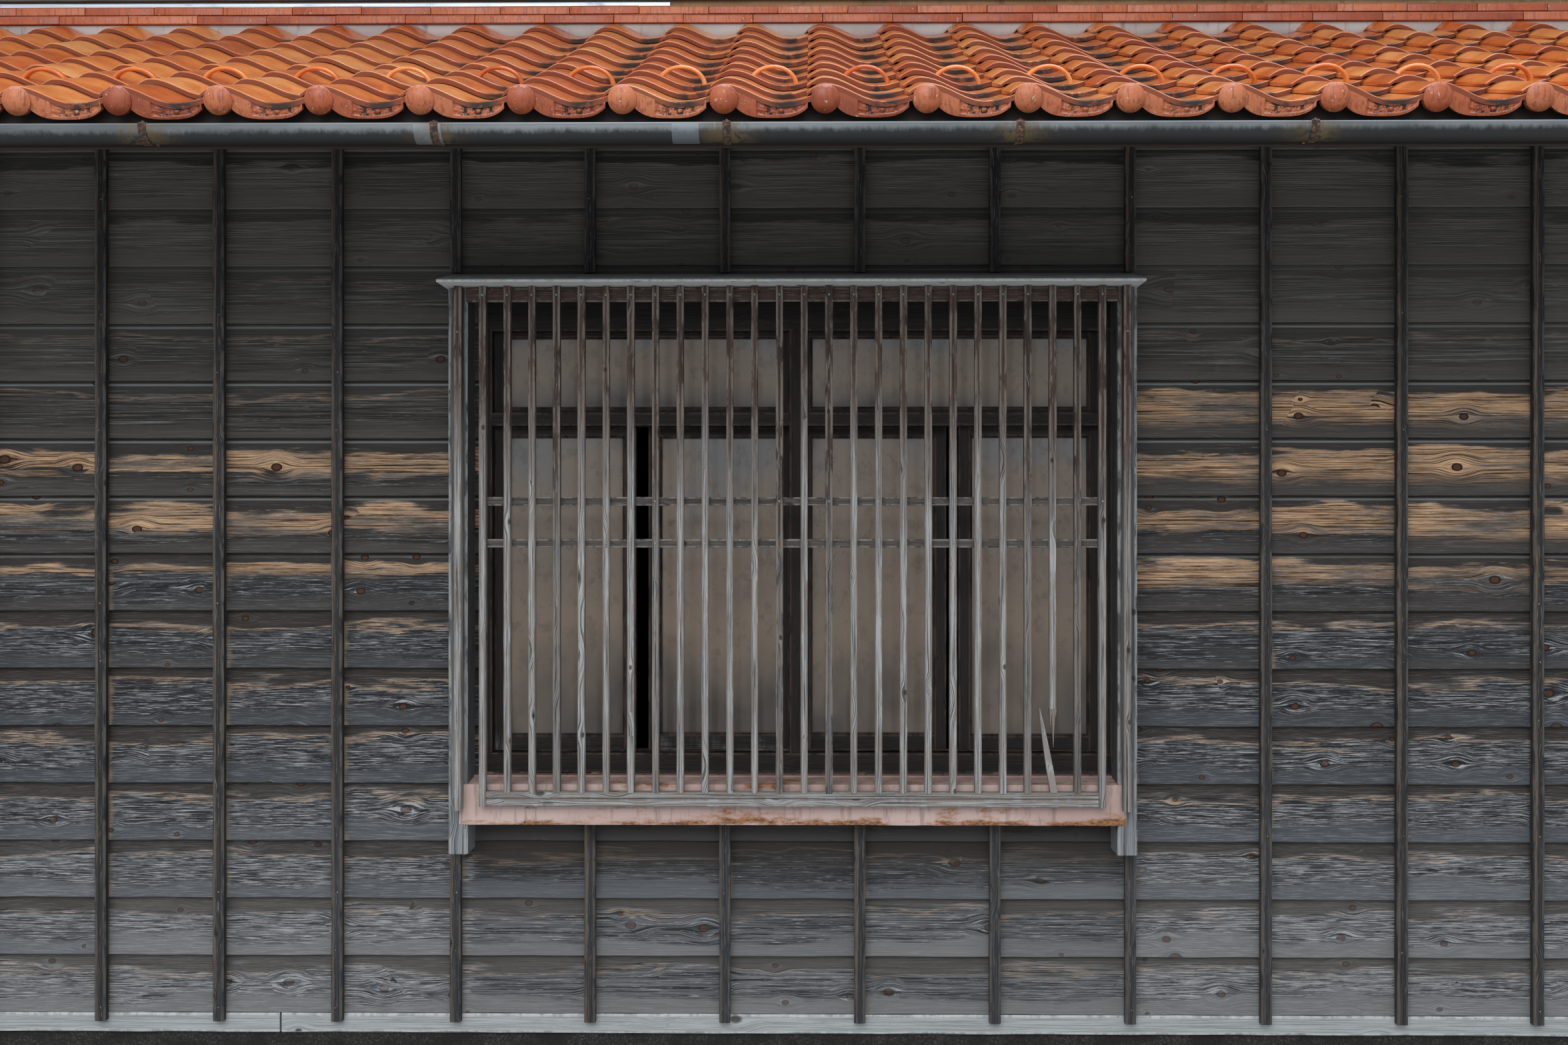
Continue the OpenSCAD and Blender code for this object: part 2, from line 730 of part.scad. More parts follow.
module pent_roof_frame() {
  infill_back = infill_in + infill_t;
  boards = concat(deck_line(0), reversed(deck_line(deck_t)));
  timber = concat(deck_line(deck_t - 1), reversed(deck_line(deck_t + rafter_h)));
  fascia_z = pent_z(deck_front);
  bays = floor((frontage - 2 * wall_t) / rafter_bay);
  first = -bays * rafter_bay / 2;
  color("#3b3029") union() {
    along_x(-half, half, boards);
    for (i = [0 : bays])
      along_x(first + i * rafter_bay - rafter_w / 2, first + i * rafter_bay + rafter_w / 2, timber);
    for (x = [-half, inner_x])
      along_x(x, x + wall_t, timber);
    // Fascia under the roof boards' front edge
    along_x(-half, half, [[deck_front, fascia_z + fascia_up],
      [deck_front + fascia_t, fascia_z + fascia_up],
      [deck_front + fascia_t, fascia_z + fascia_up - fascia_h],
      [deck_front, fascia_z + fascia_up - fascia_h]]);
    // Infill between the rafters over the street wall
    along_x(-half, half, [[infill_in, pent_under(infill_in)], [infill_back, pent_under(infill_back)],
      [infill_back, pent_z(infill_back) - deck_t / 2], [infill_in, pent_z(infill_in) - deck_t / 2]]);
  }
}

module on_course(k) {
  translate([0, course_y(k), course_z(k)]) rotate([atan(course_slope(k)), 0, 0])
    translate([0, 0, tile_lift]) rotate([-tile_tilt, 0, 0]) children();
}

module tile_shell(steps, n, len) {
  rotate([90, 0, 0]) translate([0, 0, -len]) linear_extrude(len)
    polygon(concat(tile_line(steps, n, seat), reversed(raised(tile_line(steps, n), tile_t))));
}

last_len = (up_y - seat - course_y(courses - 1)) / cos(atan(course_slope(courses - 1))) - top_gap;

module pent_tiles() {
  color("#c8642e") for (k = [1 : courses - 1])
    on_course(k) tile_shell(fine_steps, columns, k == courses - 1 ? last_len : course_len + tile_lap);
}

// Eave course: round end on every roll, hanging face under every pan
module pent_eave_tiles() {
  color("#b5623f") {
    on_course(0) tile_shell(fine_steps, columns, course_len + tile_lap);
    on_course(0) for (i = [0 : columns - 1]) {
      translate([roll_x(i), 0, tile_roll + tile_t - ball_d / 2]) rotate([90, 0, 0]) ball_end();
      pendant(i);
    }
  }
}

ball_neck = 4;                      // round end's drum in front of the hanging face
pendant_tuck = 6;                   // hanging face's end behind the round end
pendant_bow = 6;                    // rise of its lower edge towards its ends
pendant_corner = 20;                // and the further rise at its corners

module ball_end() {
  r = ball_d / 2;
  sphere_r = (r * r + ball_bulge * ball_bulge) / (2 * ball_bulge);
  translate([0, 0, -pendant_t]) cylinder(r = r, h = pendant_t + ball_neck, $fn = 48);
  intersection() {
    translate([0, 0, ball_neck + ball_bulge - sphere_r]) sphere(r = sphere_r, $fn = 64);
    translate([0, 0, ball_neck - 0.5]) cylinder(r = r, h = 2 * ball_bulge, $fn = 48);
  }
}

module pendant(i) {
  x0 = roll_x(i) + ball_d / 2 - pendant_tuck;
  x1 = roll_x(i) + pitch - roll_left;
  n = 8;
  top = [for (j = [0 : n]) let (x = x0 + (x1 - x0) * j / n) [x, tile_h(x - roll_x(i)) + 0.75 * tile_t]];
  low = [for (j = [0 : n]) let (x = x0 + (x1 - x0) * j / n, f = 2 * j / n - 1)
    [x, tile_t - pendant_h + pendant_corner * pow(f, 4) + pendant_bow * f * f]];
  translate([0, pendant_t, 0]) rotate([90, 0, 0]) linear_extrude(pendant_t)
    polygon(concat(low, reversed(top)));
}

// A band of clay arched over each pan, its feet on the roll's flank and on the pan's free edge
module snow_guards() {
  mid = guard_mid;
  a0 = asin((tile_h(mid + guard_w / 2 - guard_t / 2) + 0.6) / guard_h);
  a1 = 180 - asin((tile_h(mid - guard_w / 2 + guard_t / 2) + 0.6) / guard_h);
  n = 10;
  function arc(rx, rz) = [for (j = [0 : n]) let (a = a0 + (a1 - a0) * j / n) [rx * cos(a), rz * sin(a)]];
  band = concat(arc(guard_w / 2, guard_h), reversed(arc(guard_w / 2 - guard_t, guard_h - guard_t)));
  color("#b5623f") on_course(guard_course) for (i = [0 : columns - 1])
    translate([roll_x(i) + mid, guard_back + guard_d, tile_t + seat]) rotate([90, 0, 0])
      linear_extrude(guard_d) polygon(band);
}

band_y = up_y - plaster_d;

module plaster_band() {
  line = raised(tile_line(fine_steps, columns, seat), tile_t + seat);
  color("#b5afad") intersection() {
    on_course(courses - 1) translate([0, eave_out, 0]) rotate([90, 0, 0]) linear_extrude(eave_out)
      polygon(concat([[-half, upper_setback]], line, [[half, upper_setback]]));
    block(-half, half, band_y, up_y, eave_z, noshi_z);
  }
}

noshi_fall = 4;                     // fall of a flat tile's upper face to its front

module noshi_courses() {
  face = band_y - noshi_lip;
  color("#b5623f") along_x(-half, half, [
    [face, noshi_z], [up_y, noshi_z], [up_y, noshi_z + 2 * noshi_h],
    [face + noshi_step, noshi_z + 2 * noshi_h - noshi_fall],
    [face + noshi_step, noshi_z + noshi_h], [face, noshi_z + noshi_h - noshi_fall]]);
}

module wall_flashing_strip() {
  z = noshi_z + 2 * noshi_h;
  color("#b9c2cc") block(-half, -half + strip_len, up_y - board_butt, up_y, z, z + strip_h);
}

// Gutters and their hangers

module gutter(y, z, r) {
  half_ring = concat(
    [for (a = [180 : 10 : 360]) [y + (r + gutter_t) * cos(a), z + (r + gutter_t) * sin(a)]],
    [for (a = [360 : -10 : 180]) [y + r * cos(a), z + r * sin(a)]]);
  along_x(-half, half, half_ring);
  for (x = [-half, half - gutter_t])
    along_x(x, x + gutter_t, [for (a = [180 : 10 : 360]) [y + (r + 1) * cos(a), z + (r + 1) * sin(a)]]);
  translate([-half, y - r - gutter_t / 2, z]) rotate([0, 90, 0])
    cylinder(r = gutter_bead, h = 2 * half, $fn = 24);
}

module pent_gutter() {
  color("#6e7478") gutter(-gutter_out, gutter_z, gutter_r);
}

// Straps from below a gutter's bead round to its back, each with an arm that ends at reach
module hangers(y, z, inner, reach, gap) {
  r = inner + gutter_t + gap;
  band = concat(
    [for (a = [190 : 10 : 360]) [y + (r + strap_t) * cos(a), z + (r + strap_t) * sin(a)]],
    [for (a = [360 : -10 : 190]) [y + r * cos(a), z + r * sin(a)]]);
  arm = concat([[y + r, z - strap_t], [y + r, z - strap_drop]], reach);
  n0 = ceil((-half + end_clear - hanger_x) / hanger_bay);
  n1 = floor((half - end_clear - hanger_x) / hanger_bay);
  for (n = [n0 : n1]) {
    x = hanger_x + n * hanger_bay;
    along_x(x - hanger_w / 2, x + hanger_w / 2, band);
    along_x(x - strap_t, x + strap_t, arm);
  }
}

module gutter_hangers() {
  arm_y = deck_front - seat;
  color("#5b5f62")
    hangers(-gutter_out, gutter_z, gutter_r,
            [[arm_y, gutter_z - arm_low], [arm_y, gutter_z - arm_high]], seat);
}

// Gutter under a main eave, with its straps, held by the fascia
module main_gutter() {
  z = main_eave_z + main_gutter_rise;
  y = up_y - main_over - main_gutter_out;
  function face_y(z) = up_y - main_over - (z - main_eave_z) * main_slope - seat;
  gutter(y, z, main_gutter_r);
  hangers(y, z, main_gutter_r,
          [[face_y(z - arm_low), z - arm_low], [face_y(z - arm_high), z - arm_high]], -1);
}

// Upper street wall

upper_rows = floor((main_z(up_y) - upper_board_z - board_clear) / board_gauge);
upper_outline = concat(
  [[wall_t, upper_floor_z], [0, upper_floor_z], [0, upper_board_z]],
  lapped(upper_board_z, upper_rows),
  [[0, upper_board_z + upper_rows * board_gauge], [0, upper_wall_top],
    [wall_t, main_z(up_y + wall_t)]]);

module upper_wall() {
  color("#3a3834") translate([0, up_y, 0]) difference() {
    along_x(-half, half, upper_outline);
    along_y(-2 * board_butt, wall_t + 1) rect(win_x0, win_x1, up_win_z0, up_win_z1);
  }
}

up_frame_in = 30;                   // upper window's frame and glass behind the wall's face
up_glass_in = 70;
up_lights = [[win_x0 + up_frame_w, mullion_x - up_mid_w / 2],
  [mullion_x + up_mid_w / 2, win_x1 - up_frame_w]];

module upper_window() {
  color("#2a211d") along_y(up_y + up_frame_in, up_y + wall_t) difference() {
    rect(win_x0, win_x1, up_win_z0, up_win_z1);
    for (s = up_lights)
      rect(s[0], s[1], up_win_z0 + up_frame_sill, up_win_z1 - up_frame_head);
  }
}

module upper_glass() {
  color("#8c7f72") for (s = up_lights)
    pane(s[0], s[1], up_win_z0 + up_frame_sill, up_win_z1 - up_frame_head, up_y + up_glass_in);
}

module upper_lattice() {
  front = up_y - up_lattice_out;
  back = up_y - board_butt - seat;
  x0 = win_x0 - up_side;
  x1 = win_x1 + up_side;
  bay = (x1 - x0 - up_post_w) / (lattice_bars + 1);
  color("#4a3a33") {
    for (i = [1 : lattice_bars]) {
      x = x0 + up_post_w / 2 + i * bay;
      block(x - bar_w / 2, x + bar_w / 2, front, front + bar_d,
        up_win_z0 - up_rail_h / 2, up_win_z1 + up_rail_h / 2);
    }
    for (z = [up_win_z0 - up_rail_h, up_win_z1])
      block(x0, x1, front + rail_in, back, z, z + up_rail_h);
    for (x = [x0, x1 - up_post_w])
      block(x, x + up_post_w, front, back, up_win_z0 - up_rail_h, up_win_z1 + up_rail_h);
  }
}

// Main roof

module on_main(side) {
  y = side > 0 ? up_y - main_over : depth + main_over;
  translate([0, y, main_eave_z]) mirror([0, side > 0 ? 0 : 1, 0]) rotate([main_angle, 0, 0]) children();
}

module main_roof_frame(side) {
  bays = floor((frontage - 2 * wall_t) / rafter_bay);
  first = -bays * rafter_bay / 2;
  edge = half + verge_over;
  module plate(x0, x1, n0, n1) {
    along_x(x0, x1, [[0, n0], [main_len + n0 * main_slope, n0], [main_len + n1 * main_slope, n1],
      [0, n1]]);
  }
  wall_s = main_over / cos(main_angle);
  color("#3b3029") on_main(side) union() {
    plate(-edge, edge, main_rafter_h, main_deck_n);
    for (i = [0 : bays])
      plate(first + i * rafter_bay - rafter_w / 2, first + i * rafter_bay + rafter_w / 2, 0,
        main_rafter_h + 1);
    for (x = [-half, inner_x])
      plate(x, x + wall_t, 0, main_rafter_h + 1);
    block(-edge, edge, 0, main_fascia_t, -main_fascia_low, main_tile_n - seat);
    block(-half, half, wall_s + infill_t, wall_s + 2 * infill_t, 0, main_rafter_h + 1);
  }
}

module main_roof_frame_front() {
  main_roof_frame(1);
}

module main_roof_frame_rear() {
  main_roof_frame(-1);
}

main_tile_n = main_deck_n + tile_batten_h;
main_eave_s = -40;                  // front of the eave tiles, before the fascia
main_roll_n = main_tile_n + tile_t + tile_roll;
main_tile_len = main_len + main_roll_n * main_slope - ridge_w / 2 / cos(main_angle);

module main_tiles(side) {
  line = tile_line(plain_steps, columns);
  color("#c8642e") on_main(side)
    translate([0, course_len, main_tile_n]) rotate([90, 0, 0])
      translate([0, 0, -(main_tile_len - course_len)]) linear_extrude(main_tile_len - course_len)
        polygon(concat([[-half, seat - tile_batten_h]], raised(line, tile_t),
          [[half, seat - tile_batten_h]]));
}

module main_tiles_front() {
  main_tiles(1);
}

module main_tiles_rear() {
  main_tiles(-1);
}

module main_eave_tiles(side) {
  color("#b5623f") on_main(side) translate([0, main_eave_s, main_tile_n]) {
    tile_shell(plain_steps, columns, course_len - main_eave_s - seat);
    for (i = [0 : columns - 1]) {
      translate([roll_x(i), 0, tile_roll + tile_t - ball_d / 2]) rotate([90, 0, 0]) ball_end();
      pendant(i);
    }
  }
}

module main_eave_tiles_front() {
  main_eave_tiles(1);
}

module main_eave_tiles_rear() {
  main_eave_tiles(-1);
}

// Ridge: stack of flat tiles under a round cap
module ridge() {
  deck_top = main_z(ridge_y) + drop(main_deck_n, main_slope);
  w = ridge_w / 2;
  core = w - 3 * ridge_step;
  foot = main_z(ridge_y) - w * main_slope + drop(main_roll_n, main_slope) + seat;
  color("#b5623f") union() {
    along_x(-half, half, [[ridge_y - w, foot], [ridge_y + w, foot],
      [ridge_y + w, foot + ridge_h / 2], [ridge_y + w - ridge_step, foot + ridge_h / 2],
      [ridge_y + w - ridge_step, foot + ridge_h], [ridge_y - w + ridge_step, foot + ridge_h],
      [ridge_y - w + ridge_step, foot + ridge_h / 2], [ridge_y - w, foot + ridge_h / 2]]);
    along_x(-half, half, [[ridge_y - core, deck_top - core * main_slope], [ridge_y, deck_top],
      [ridge_y + core, deck_top - core * main_slope], [ridge_y + core, foot + 1],
      [ridge_y - core, foot + 1]]);
    translate([-half, ridge_y, foot + ridge_h]) rotate([0, 90, 0])
      cylinder(r = ridge_cap_r, h = frontage, $fn = 48);
  }
}

module main_gutter_front() {
  color("#6e7478") main_gutter();
}

module main_gutter_rear() {
  color("#6e7478") translate([0, up_y + depth, 0]) mirror([0, 1, 0]) main_gutter();
}

foundation();
ground_floor();
front_sill();
front_wall_left();
front_wall_right();
front_wall_above();
front_wall_below();
front_battens();
window_hood();
window_jambs();
window_flashing();
window_frame();
window_sashes();
window_glass();
lattice();
party_wall_left();
party_wall_right();
rear_wall();
rear_door();
rear_windows();
rear_glass();
upper_floor();
pent_roof_frame();
pent_tiles();
pent_eave_tiles();
snow_guards();
plaster_band();
noshi_courses();
wall_flashing_strip();
pent_gutter();
gutter_hangers();
upper_wall();
upper_window();
upper_glass();
upper_lattice();
main_roof_frame_front();
main_roof_frame_rear();
main_tiles_front();
main_tiles_rear();
main_eave_tiles_front();
main_eave_tiles_rear();
ridge();
main_gutter_front();
main_gutter_rear();
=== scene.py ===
"""Timber townhouse with a pent roof of pantiles: its looks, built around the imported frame."""
import math
import random
from functools import partial

import bmesh
import bpy
from mathutils import Matrix, Vector


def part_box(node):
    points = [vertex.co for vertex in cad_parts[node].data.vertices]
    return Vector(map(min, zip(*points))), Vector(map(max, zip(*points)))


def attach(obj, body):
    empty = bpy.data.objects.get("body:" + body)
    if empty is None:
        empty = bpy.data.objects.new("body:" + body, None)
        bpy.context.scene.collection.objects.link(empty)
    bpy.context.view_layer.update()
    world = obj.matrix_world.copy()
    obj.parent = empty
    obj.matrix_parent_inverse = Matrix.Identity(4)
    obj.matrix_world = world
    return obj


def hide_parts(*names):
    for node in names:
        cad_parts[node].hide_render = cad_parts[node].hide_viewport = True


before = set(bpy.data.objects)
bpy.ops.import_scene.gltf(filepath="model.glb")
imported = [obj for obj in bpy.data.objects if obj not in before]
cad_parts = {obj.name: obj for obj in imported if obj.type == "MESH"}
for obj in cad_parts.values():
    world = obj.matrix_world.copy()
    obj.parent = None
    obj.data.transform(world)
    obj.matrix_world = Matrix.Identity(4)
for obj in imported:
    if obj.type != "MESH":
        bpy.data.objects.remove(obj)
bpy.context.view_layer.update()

SCENE = bpy.context.scene
ROOT = "root"
LAYING = "laid_in_courses"

# Walls, in metres, as the solids have them.
HALF = 3.180                      # half of the frontage
SILL_TOP = 0.186
SILL_JOINT = -1.772
BOARD_GAUGE = 0.193               # what shows of each weatherboard
BOARD_BUTT = 0.026                # how far a board's lower edge stands off the wall
BOARD_HEAD = 0.006                # and its upper edge
BOARD_ROWS = 16
BATTEN_W = 0.038
BATTEN_D = 0.030
BATTEN_FOOT = 0.020
BATTEN_START = -1.177
BAY_WIDE = 0.450
BAY_NARROW = 0.397
SEAT = 0.0003                     # play between two pieces that touch
ARRIS, WAVER = 0.003, 0.001       # worn arris of a sawn member, and how far its faces waver
BAR_ARRIS, BAR_WAVER = 0.0026, 0.0011
WORN_EDGE = 0.007                 # strip of a face beside its arris that counts as worn
CHIP_LOW, CHIP_HIGH = 0.6, 1.7    # least and most of an arris, as shares of its size
BUTT_EASE = 0.0022                # rounding at the lower edge of a weatherboard
FAR_NUMBER = 90                   # a member's own number lies between nought and this

# Nails and rivets: radius and height of the head.
BATTEN_NAIL, BAR_NAIL, STILE_NAIL = (0.0032, 0.0018), (0.0036, 0.0016), (0.004, 0.0018)
SHEET_NAIL, DOOR_NAIL, RIVET = (0.0042, 0.0022), (0.005, 0.0022), (0.0045, 0.004)

# Street window.
WIN_X0, WIN_X1 = -1.085, 1.020
WIN_Z0, WIN_Z1 = 0.992, 2.610
HOOD_X0, HOOD_X1 = -1.188, 1.078
HOOD_OUT, HOOD_Z, HOOD_EDGE, HOOD_RISE = 0.270, 2.604, 0.010, 0.054
FRAME_T, FRAME_SILL, FRAME_HEAD = 0.020, 0.065, 2.480
MULLION_X, MULLION_W = -0.040, 0.044
TRANSOM_Z, TRANSOM_H = 2.160, 0.044
SIDE_STILE, SASH_STILE, MEETING_STILE, MEETING_GAP = 0.050, 0.028, 0.041, 0.038
SASH_FOOT, SASH_HEAD, LIGHT_RAIL, SASH_T = 0.054, 0.033, 0.017, 0.026
GLASS_T, SASH_BEAD = 0.004, 0.006
TRACKS = (0.040, 0.070)
LATTICE_X0, LATTICE_PITCH, LATTICE_BARS = -1.058, 0.0805, 26
BAR_W, BAR_D, LATTICE_OUT = 0.025, 0.030, 0.190
LATTICE_Z0, RAIL_H, STILE_DROP = 0.909, 0.050, 0.012
TIE_ZS, TIE_D, TIE_H = (1.752, 1.889), 0.014, 0.028
BROKEN_BAR, BROKEN_Z = 23, 1.210
JAMB_T, JAMB_Z0 = 0.064, 0.747
FLASH_H, FLASH_TOP, FLASH_SIDE = 0.133, 0.977, 0.028

# Pent roof.
PITCH, ROLL_LEFT, PAN_RIGHT = 0.265, 0.048, 0.150
ROLL, PAN_LIP, TILE_T = 0.045, 0.012, 0.015
PAN_MID = 0.162                   # lowest line of the pan, from the top of the roll
RUN, COURSES, ACROSS = 0.210, 9, 24
EAVE_Y, EAVE_Z = -1.140, 2.900
SLOPE, SLOPE_GAIN = 0.378, 0.0105
TILE_STEP, COURSE_LEN, TILE_LAP = 0.0153, 0.2245, 0.050
TILE_TILT = math.atan(TILE_STEP / COURSE_LEN)
TILE_LIFT = (COURSE_LEN + TILE_LAP) * TILE_STEP / COURSE_LEN + 0.001
ROLL_PLAY, TWIST_PLAY = 3.5, 3.0  # how far a tile rolls and twists, in radians to a metre of unevenness
BALL_D, BALL_OUT = 0.076, 0.016
PENDANT_H, PENDANT_T = 0.041, 0.018
PANEL_MID, PANEL_HALF, PANEL_SUNK = 0.150, 0.064, 0.0042     # of the face's sunk panel
SCROLL_HIGH, SCROLL_R, BOSS_R = 0.0038, 0.0030, 0.0075
GUARD_W, GUARD_H, GUARD_T, GUARD_D = 0.145, 0.058, 0.012, 0.024
GUARD_COURSE, GUARD_MID = 2, 0.118
WALL_Y = 0.730                    # face of the upper storey
NOSHI_Z, NOSHI_H, NOSHI_LIP = 3.736, 0.036, 0.015
PLASTER_D = 0.055
GUTTER_Y, GUTTER_Z, GUTTER_R, GUTTER_T, BEAD_D = -1.160, 2.864, 0.038, 0.0025, 0.005
GUTTER_SLEEVES = ((-1.018, -0.946), (-0.349, -0.279))     # left and right of its joints
STRAP_BAY, STRAP_FIRST, STRAP_CLEAR, HALF_ARM = 0.7575, -0.207, 0.100, 0.004
BEAD_IN = -0.0023                 # the bead's middle, out from the gutter's inner face

# Upper storey, rear and main roof.
UPPER_BOARD_Z = 3.840
UP_POST, UP_MULLION, UP_SIDES = 0.044, 0.080, (0.050, 0.055, 0.045)
REAR_WIN_H, REAR_POST = 0.900, 0.040
DOOR_FRAME, DOOR_LEAF, DOOR_LAP, DOOR_PLAY = 0.035, 0.030, 0.050, 0.003
MAIN_SLOPE, MAIN_COURSES, MAIN_LAP = 0.43, 15, 0.045
MAIN_EAVE_Y, MAIN_EAVE_Z, MAIN_EAVE_OUT = -0.020, 5.0775, 0.040
MAIN_STEP = 0.0145
MAIN_TILT = math.atan(MAIN_STEP / COURSE_LEN)
MAIN_BASE = 0.106                 # foot of the tiles above the rafters' underside, square to them
MAIN_GUTTER_Y, MAIN_GUTTER_R = -0.110, 0.050
RIDGE_Y, RIDGE_W, RIDGE_H, RIDGE_CAP_R = 3.092, 0.230, 0.150, 0.075
RIDGE_TIERS, RIDGE_CAPS, RIDGE_CHAMFER = 4, 20, 0.010

# Camera and light.
PHOTO_W = 2352
CAMERA_AT = (0.012, -5.130, 1.834)
CAMERA_LENS = 35.0
CAMERA_YAW = 0.58                 # degrees to the left
CAMERA_SHIFT_PX = -18             # what the yaw leaves of the photograph's own shift
SENSOR_W = 36.0
SKY_COLOUR, SKY_STRENGTH = "#DDE3EA", 0.75
FLOOR_COLOUR, FLOOR_EDGE = "#C9C8C6", 40
# Soft lights: name, place, what they face, width and height, power and colour.
LIGHTS = (("street_light", (-1.5, -9.0, 7.0), (0, 0.2, 2.0), (9.0, 6.0), 620, "#FFFFFF"),
          ("roof_light", (2.5, -1.5, 12.0), (0, 1.5, 3.5), (8.0, 6.0), 500, "#F4F6FF"))

# Short names for kinds of node with the property that the finishes give them. The last ones
# read what the points of a piece carry.
KINDS = {"mix": ("Mix", "data_type", "RGBA"),
         "soft": ("MapRange", "interpolation_type", "SMOOTHSTEP"),
         "plus": ("Math", "operation", "ADD"), "less": ("Math", "operation", "SUBTRACT"),
         "times": ("Math", "operation", "MULTIPLY"), "larger": ("Math", "operation", "MAXIMUM")}
KINDS.update({name: ("Attribute", "attribute_name", name)
              for name in ("grain", "tone", "worn", "across", "on_tile")})


# ---- small tools ----

def linear(hex_colour):
    """An sRGB hex colour as the linear colour that a shader takes."""
    parts = [int(hex_colour[i:i + 2], 16) / 255 for i in (1, 3, 5)]
    return [c / 12.92 if c <= 0.04045 else ((c + 0.055) / 1.055) ** 2.4 for c in parts] + [1.0]


def add(tree, kind, *inputs, **settings):
    """Adds a node. A kind is one of the short names, or a group that the node holds, or a node's
    type; without the word Node it is a shader node's. Settings are properties; inputs fill the
    open sockets in order, and None leaves one as it is. An input is a value, a hex colour, a
    socket or a node, whose first open output is meant."""
    if kind in KINDS:
        kind, name, value = KINDS[kind]
        settings[name] = value
    group = bpy.data.node_groups.get(kind)
    node = tree.nodes.new("ShaderNodeGroup" if group else
                          kind if "Node" in kind else "ShaderNode" + kind)
    if group:
        node.node_tree = group
    for name, value in settings.items():
        if name == "stops":
            ramp = node.color_ramp.elements
            while len(ramp) < len(value):
                ramp.new(0.5)
            for stop, (at, colour) in zip(ramp, value):
                stop.position = at
                stop.color = linear(colour) if isinstance(colour, str) else [colour] * 3 + [1]
        else:
            setattr(node, name, value)
    for socket, value in zip([s for s in node.inputs if s.enabled], inputs):
        if isinstance(value, bpy.types.Node):
            value = next(s for s in value.outputs if s.enabled)
        if isinstance(value, bpy.types.NodeSocket):
            tree.links.new(value, socket)
        elif value is not None:
            is_colour = isinstance(value, str) and value.startswith("#")
            socket.default_value = linear(value) if is_colour else value
    return node


def wire(finish, **links):
    """Leads nodes to the inputs of a finish's shader, named with underscores for spaces."""
    tree = finish.node_tree
    for name, node in links.items():
        output = node if isinstance(node, bpy.types.NodeSocket) else next(
            s for s in node.outputs if s.enabled)
        tree.links.new(output, tree.nodes["Principled BSDF"].inputs[name.replace("_", " ")])
    return finish


def new_finish(name, **settings):
    """An empty material, what adds a node to it, and the place on the piece in metres."""
    finish = bpy.data.materials.new(name)
    finish.use_nodes = True
    inputs = finish.node_tree.nodes["Principled BSDF"].inputs
    for socket, value in settings.items():
        inputs[socket.replace("_", " ")].default_value = value
    put = partial(add, finish.node_tree)
    return finish, put, put("TexCoord").outputs["Object"]


# ---- finishes ----

def marks_group():
    """Noise whose marks are about as long, deep and high as Size says, in mm."""
    group = bpy.data.node_groups.new("marks", "ShaderNodeTree")
    put = partial(add, group)
    for name, kind in (("Place", "Vector"), ("Size", "Vector"), ("Detail", "Float"),
                       ("Roughness", "Float")):
        group.interface.new_socket(name, in_out="INPUT", socket_type="NodeSocket" + kind)
    group.interface.new_socket("Share", in_out="OUTPUT", socket_type="NodeSocketFloat")
    given = group.nodes.new("NodeGroupInput").outputs
    spread = put("VectorMath", given["Place"], given["Size"], operation="DIVIDE")
    cloud = put("TexNoise", spread, 1000.0, given["Detail"], given["Roughness"])
    put("NodeGroupOutput", cloud)


def grain_group():
    """Timber's figure from the grain attribute: metres along the board, metres across it, and a
    number of its own. Fibre is long and fine, Fleck short, Ring the lines of the year rings,
    Wave broad; Knot is a knot's middle, and Halo the wood that bends round it."""
    group = bpy.data.node_groups.new("timber_grain", "ShaderNodeTree")
    put = partial(add, group)
    names = ("Fibre", "Fleck", "Ring", "Wave", "Knot", "Halo", "Tone")
    for name in names:
        group.interface.new_socket(name, in_out="OUTPUT", socket_type="NodeSocketFloat")
    knot_cell = (4.2, 8.0, 1.0)           # knots to the metre along and across
    round_off = (0.7 / 4.2, 1 / 8.0, 0)   # a cell's share back to metres, knots a little long
    grain = put("grain").outputs["Vector"]
    cells = put("VectorMath", grain, knot_cell, operation="MULTIPLY")
    near = put("TexVoronoi", cells, 1.0, feature="F1").outputs
    off = put("VectorMath", cells, near["Position"], operation="SUBTRACT")
    flat = put("VectorMath", off, round_off, operation="MULTIPLY")
    far = put("VectorMath", flat, operation="LENGTH").outputs["Value"]
    pick = put("SeparateColor", near["Color"]).outputs
    held = put("soft", pick["Red"], 0.64, 0.68)
    size = put("MapRange", pick["Green"], 0.0, 1.0, 0.55, 1.5)
    wide = put("Math", far, size, operation="DIVIDE")
    knot = put("times", put("soft", wide, 0.0125, 0.0055), held)
    halo = put("times", put("soft", wide, 0.055, 0.008), held)
    # Fibres part round a knot: the place across is drawn towards the knot's middle.
    apart = put("SeparateXYZ", flat).outputs["Y"]
    drawn = put("times", put("times", apart, halo), -0.85)
    shift = put("CombineXYZ", 0.0, drawn, 0.0)
    parted = put("VectorMath", grain, shift, operation="ADD")
    # Each board's own number, far from its neighbour's, keeps its figure apart.
    fibre = put("marks", parted, (300, 3.6, 400), 5.0, 0.72)
    fleck = put("marks", parted, (75, 2.6, 400), 5.0, 0.70)
    wave = put("marks", parted, (420, 60, 400), 3.0, 0.55)
    across = put("SeparateXYZ", parted).outputs["Y"]
    line = put("plus", put("times", across, 900.0), put("times", wave, 44.0))
    ring = put("Math", line, operation="SINE")
    tone = put("tone").outputs["Fac"]
    put("NodeGroupOutput", fibre, fleck, ring, wave, knot, halo, tone)


def board_state(put, value, *stops):
    """What a board shows by its height: stops of metres and share or colour."""
    top = BOARD_ROWS * BOARD_GAUGE + SILL_TOP
    return put("ValToRGB", put("Math", value, top, operation="DIVIDE"),
               stops=[(z / top, state) for z, state in stops])


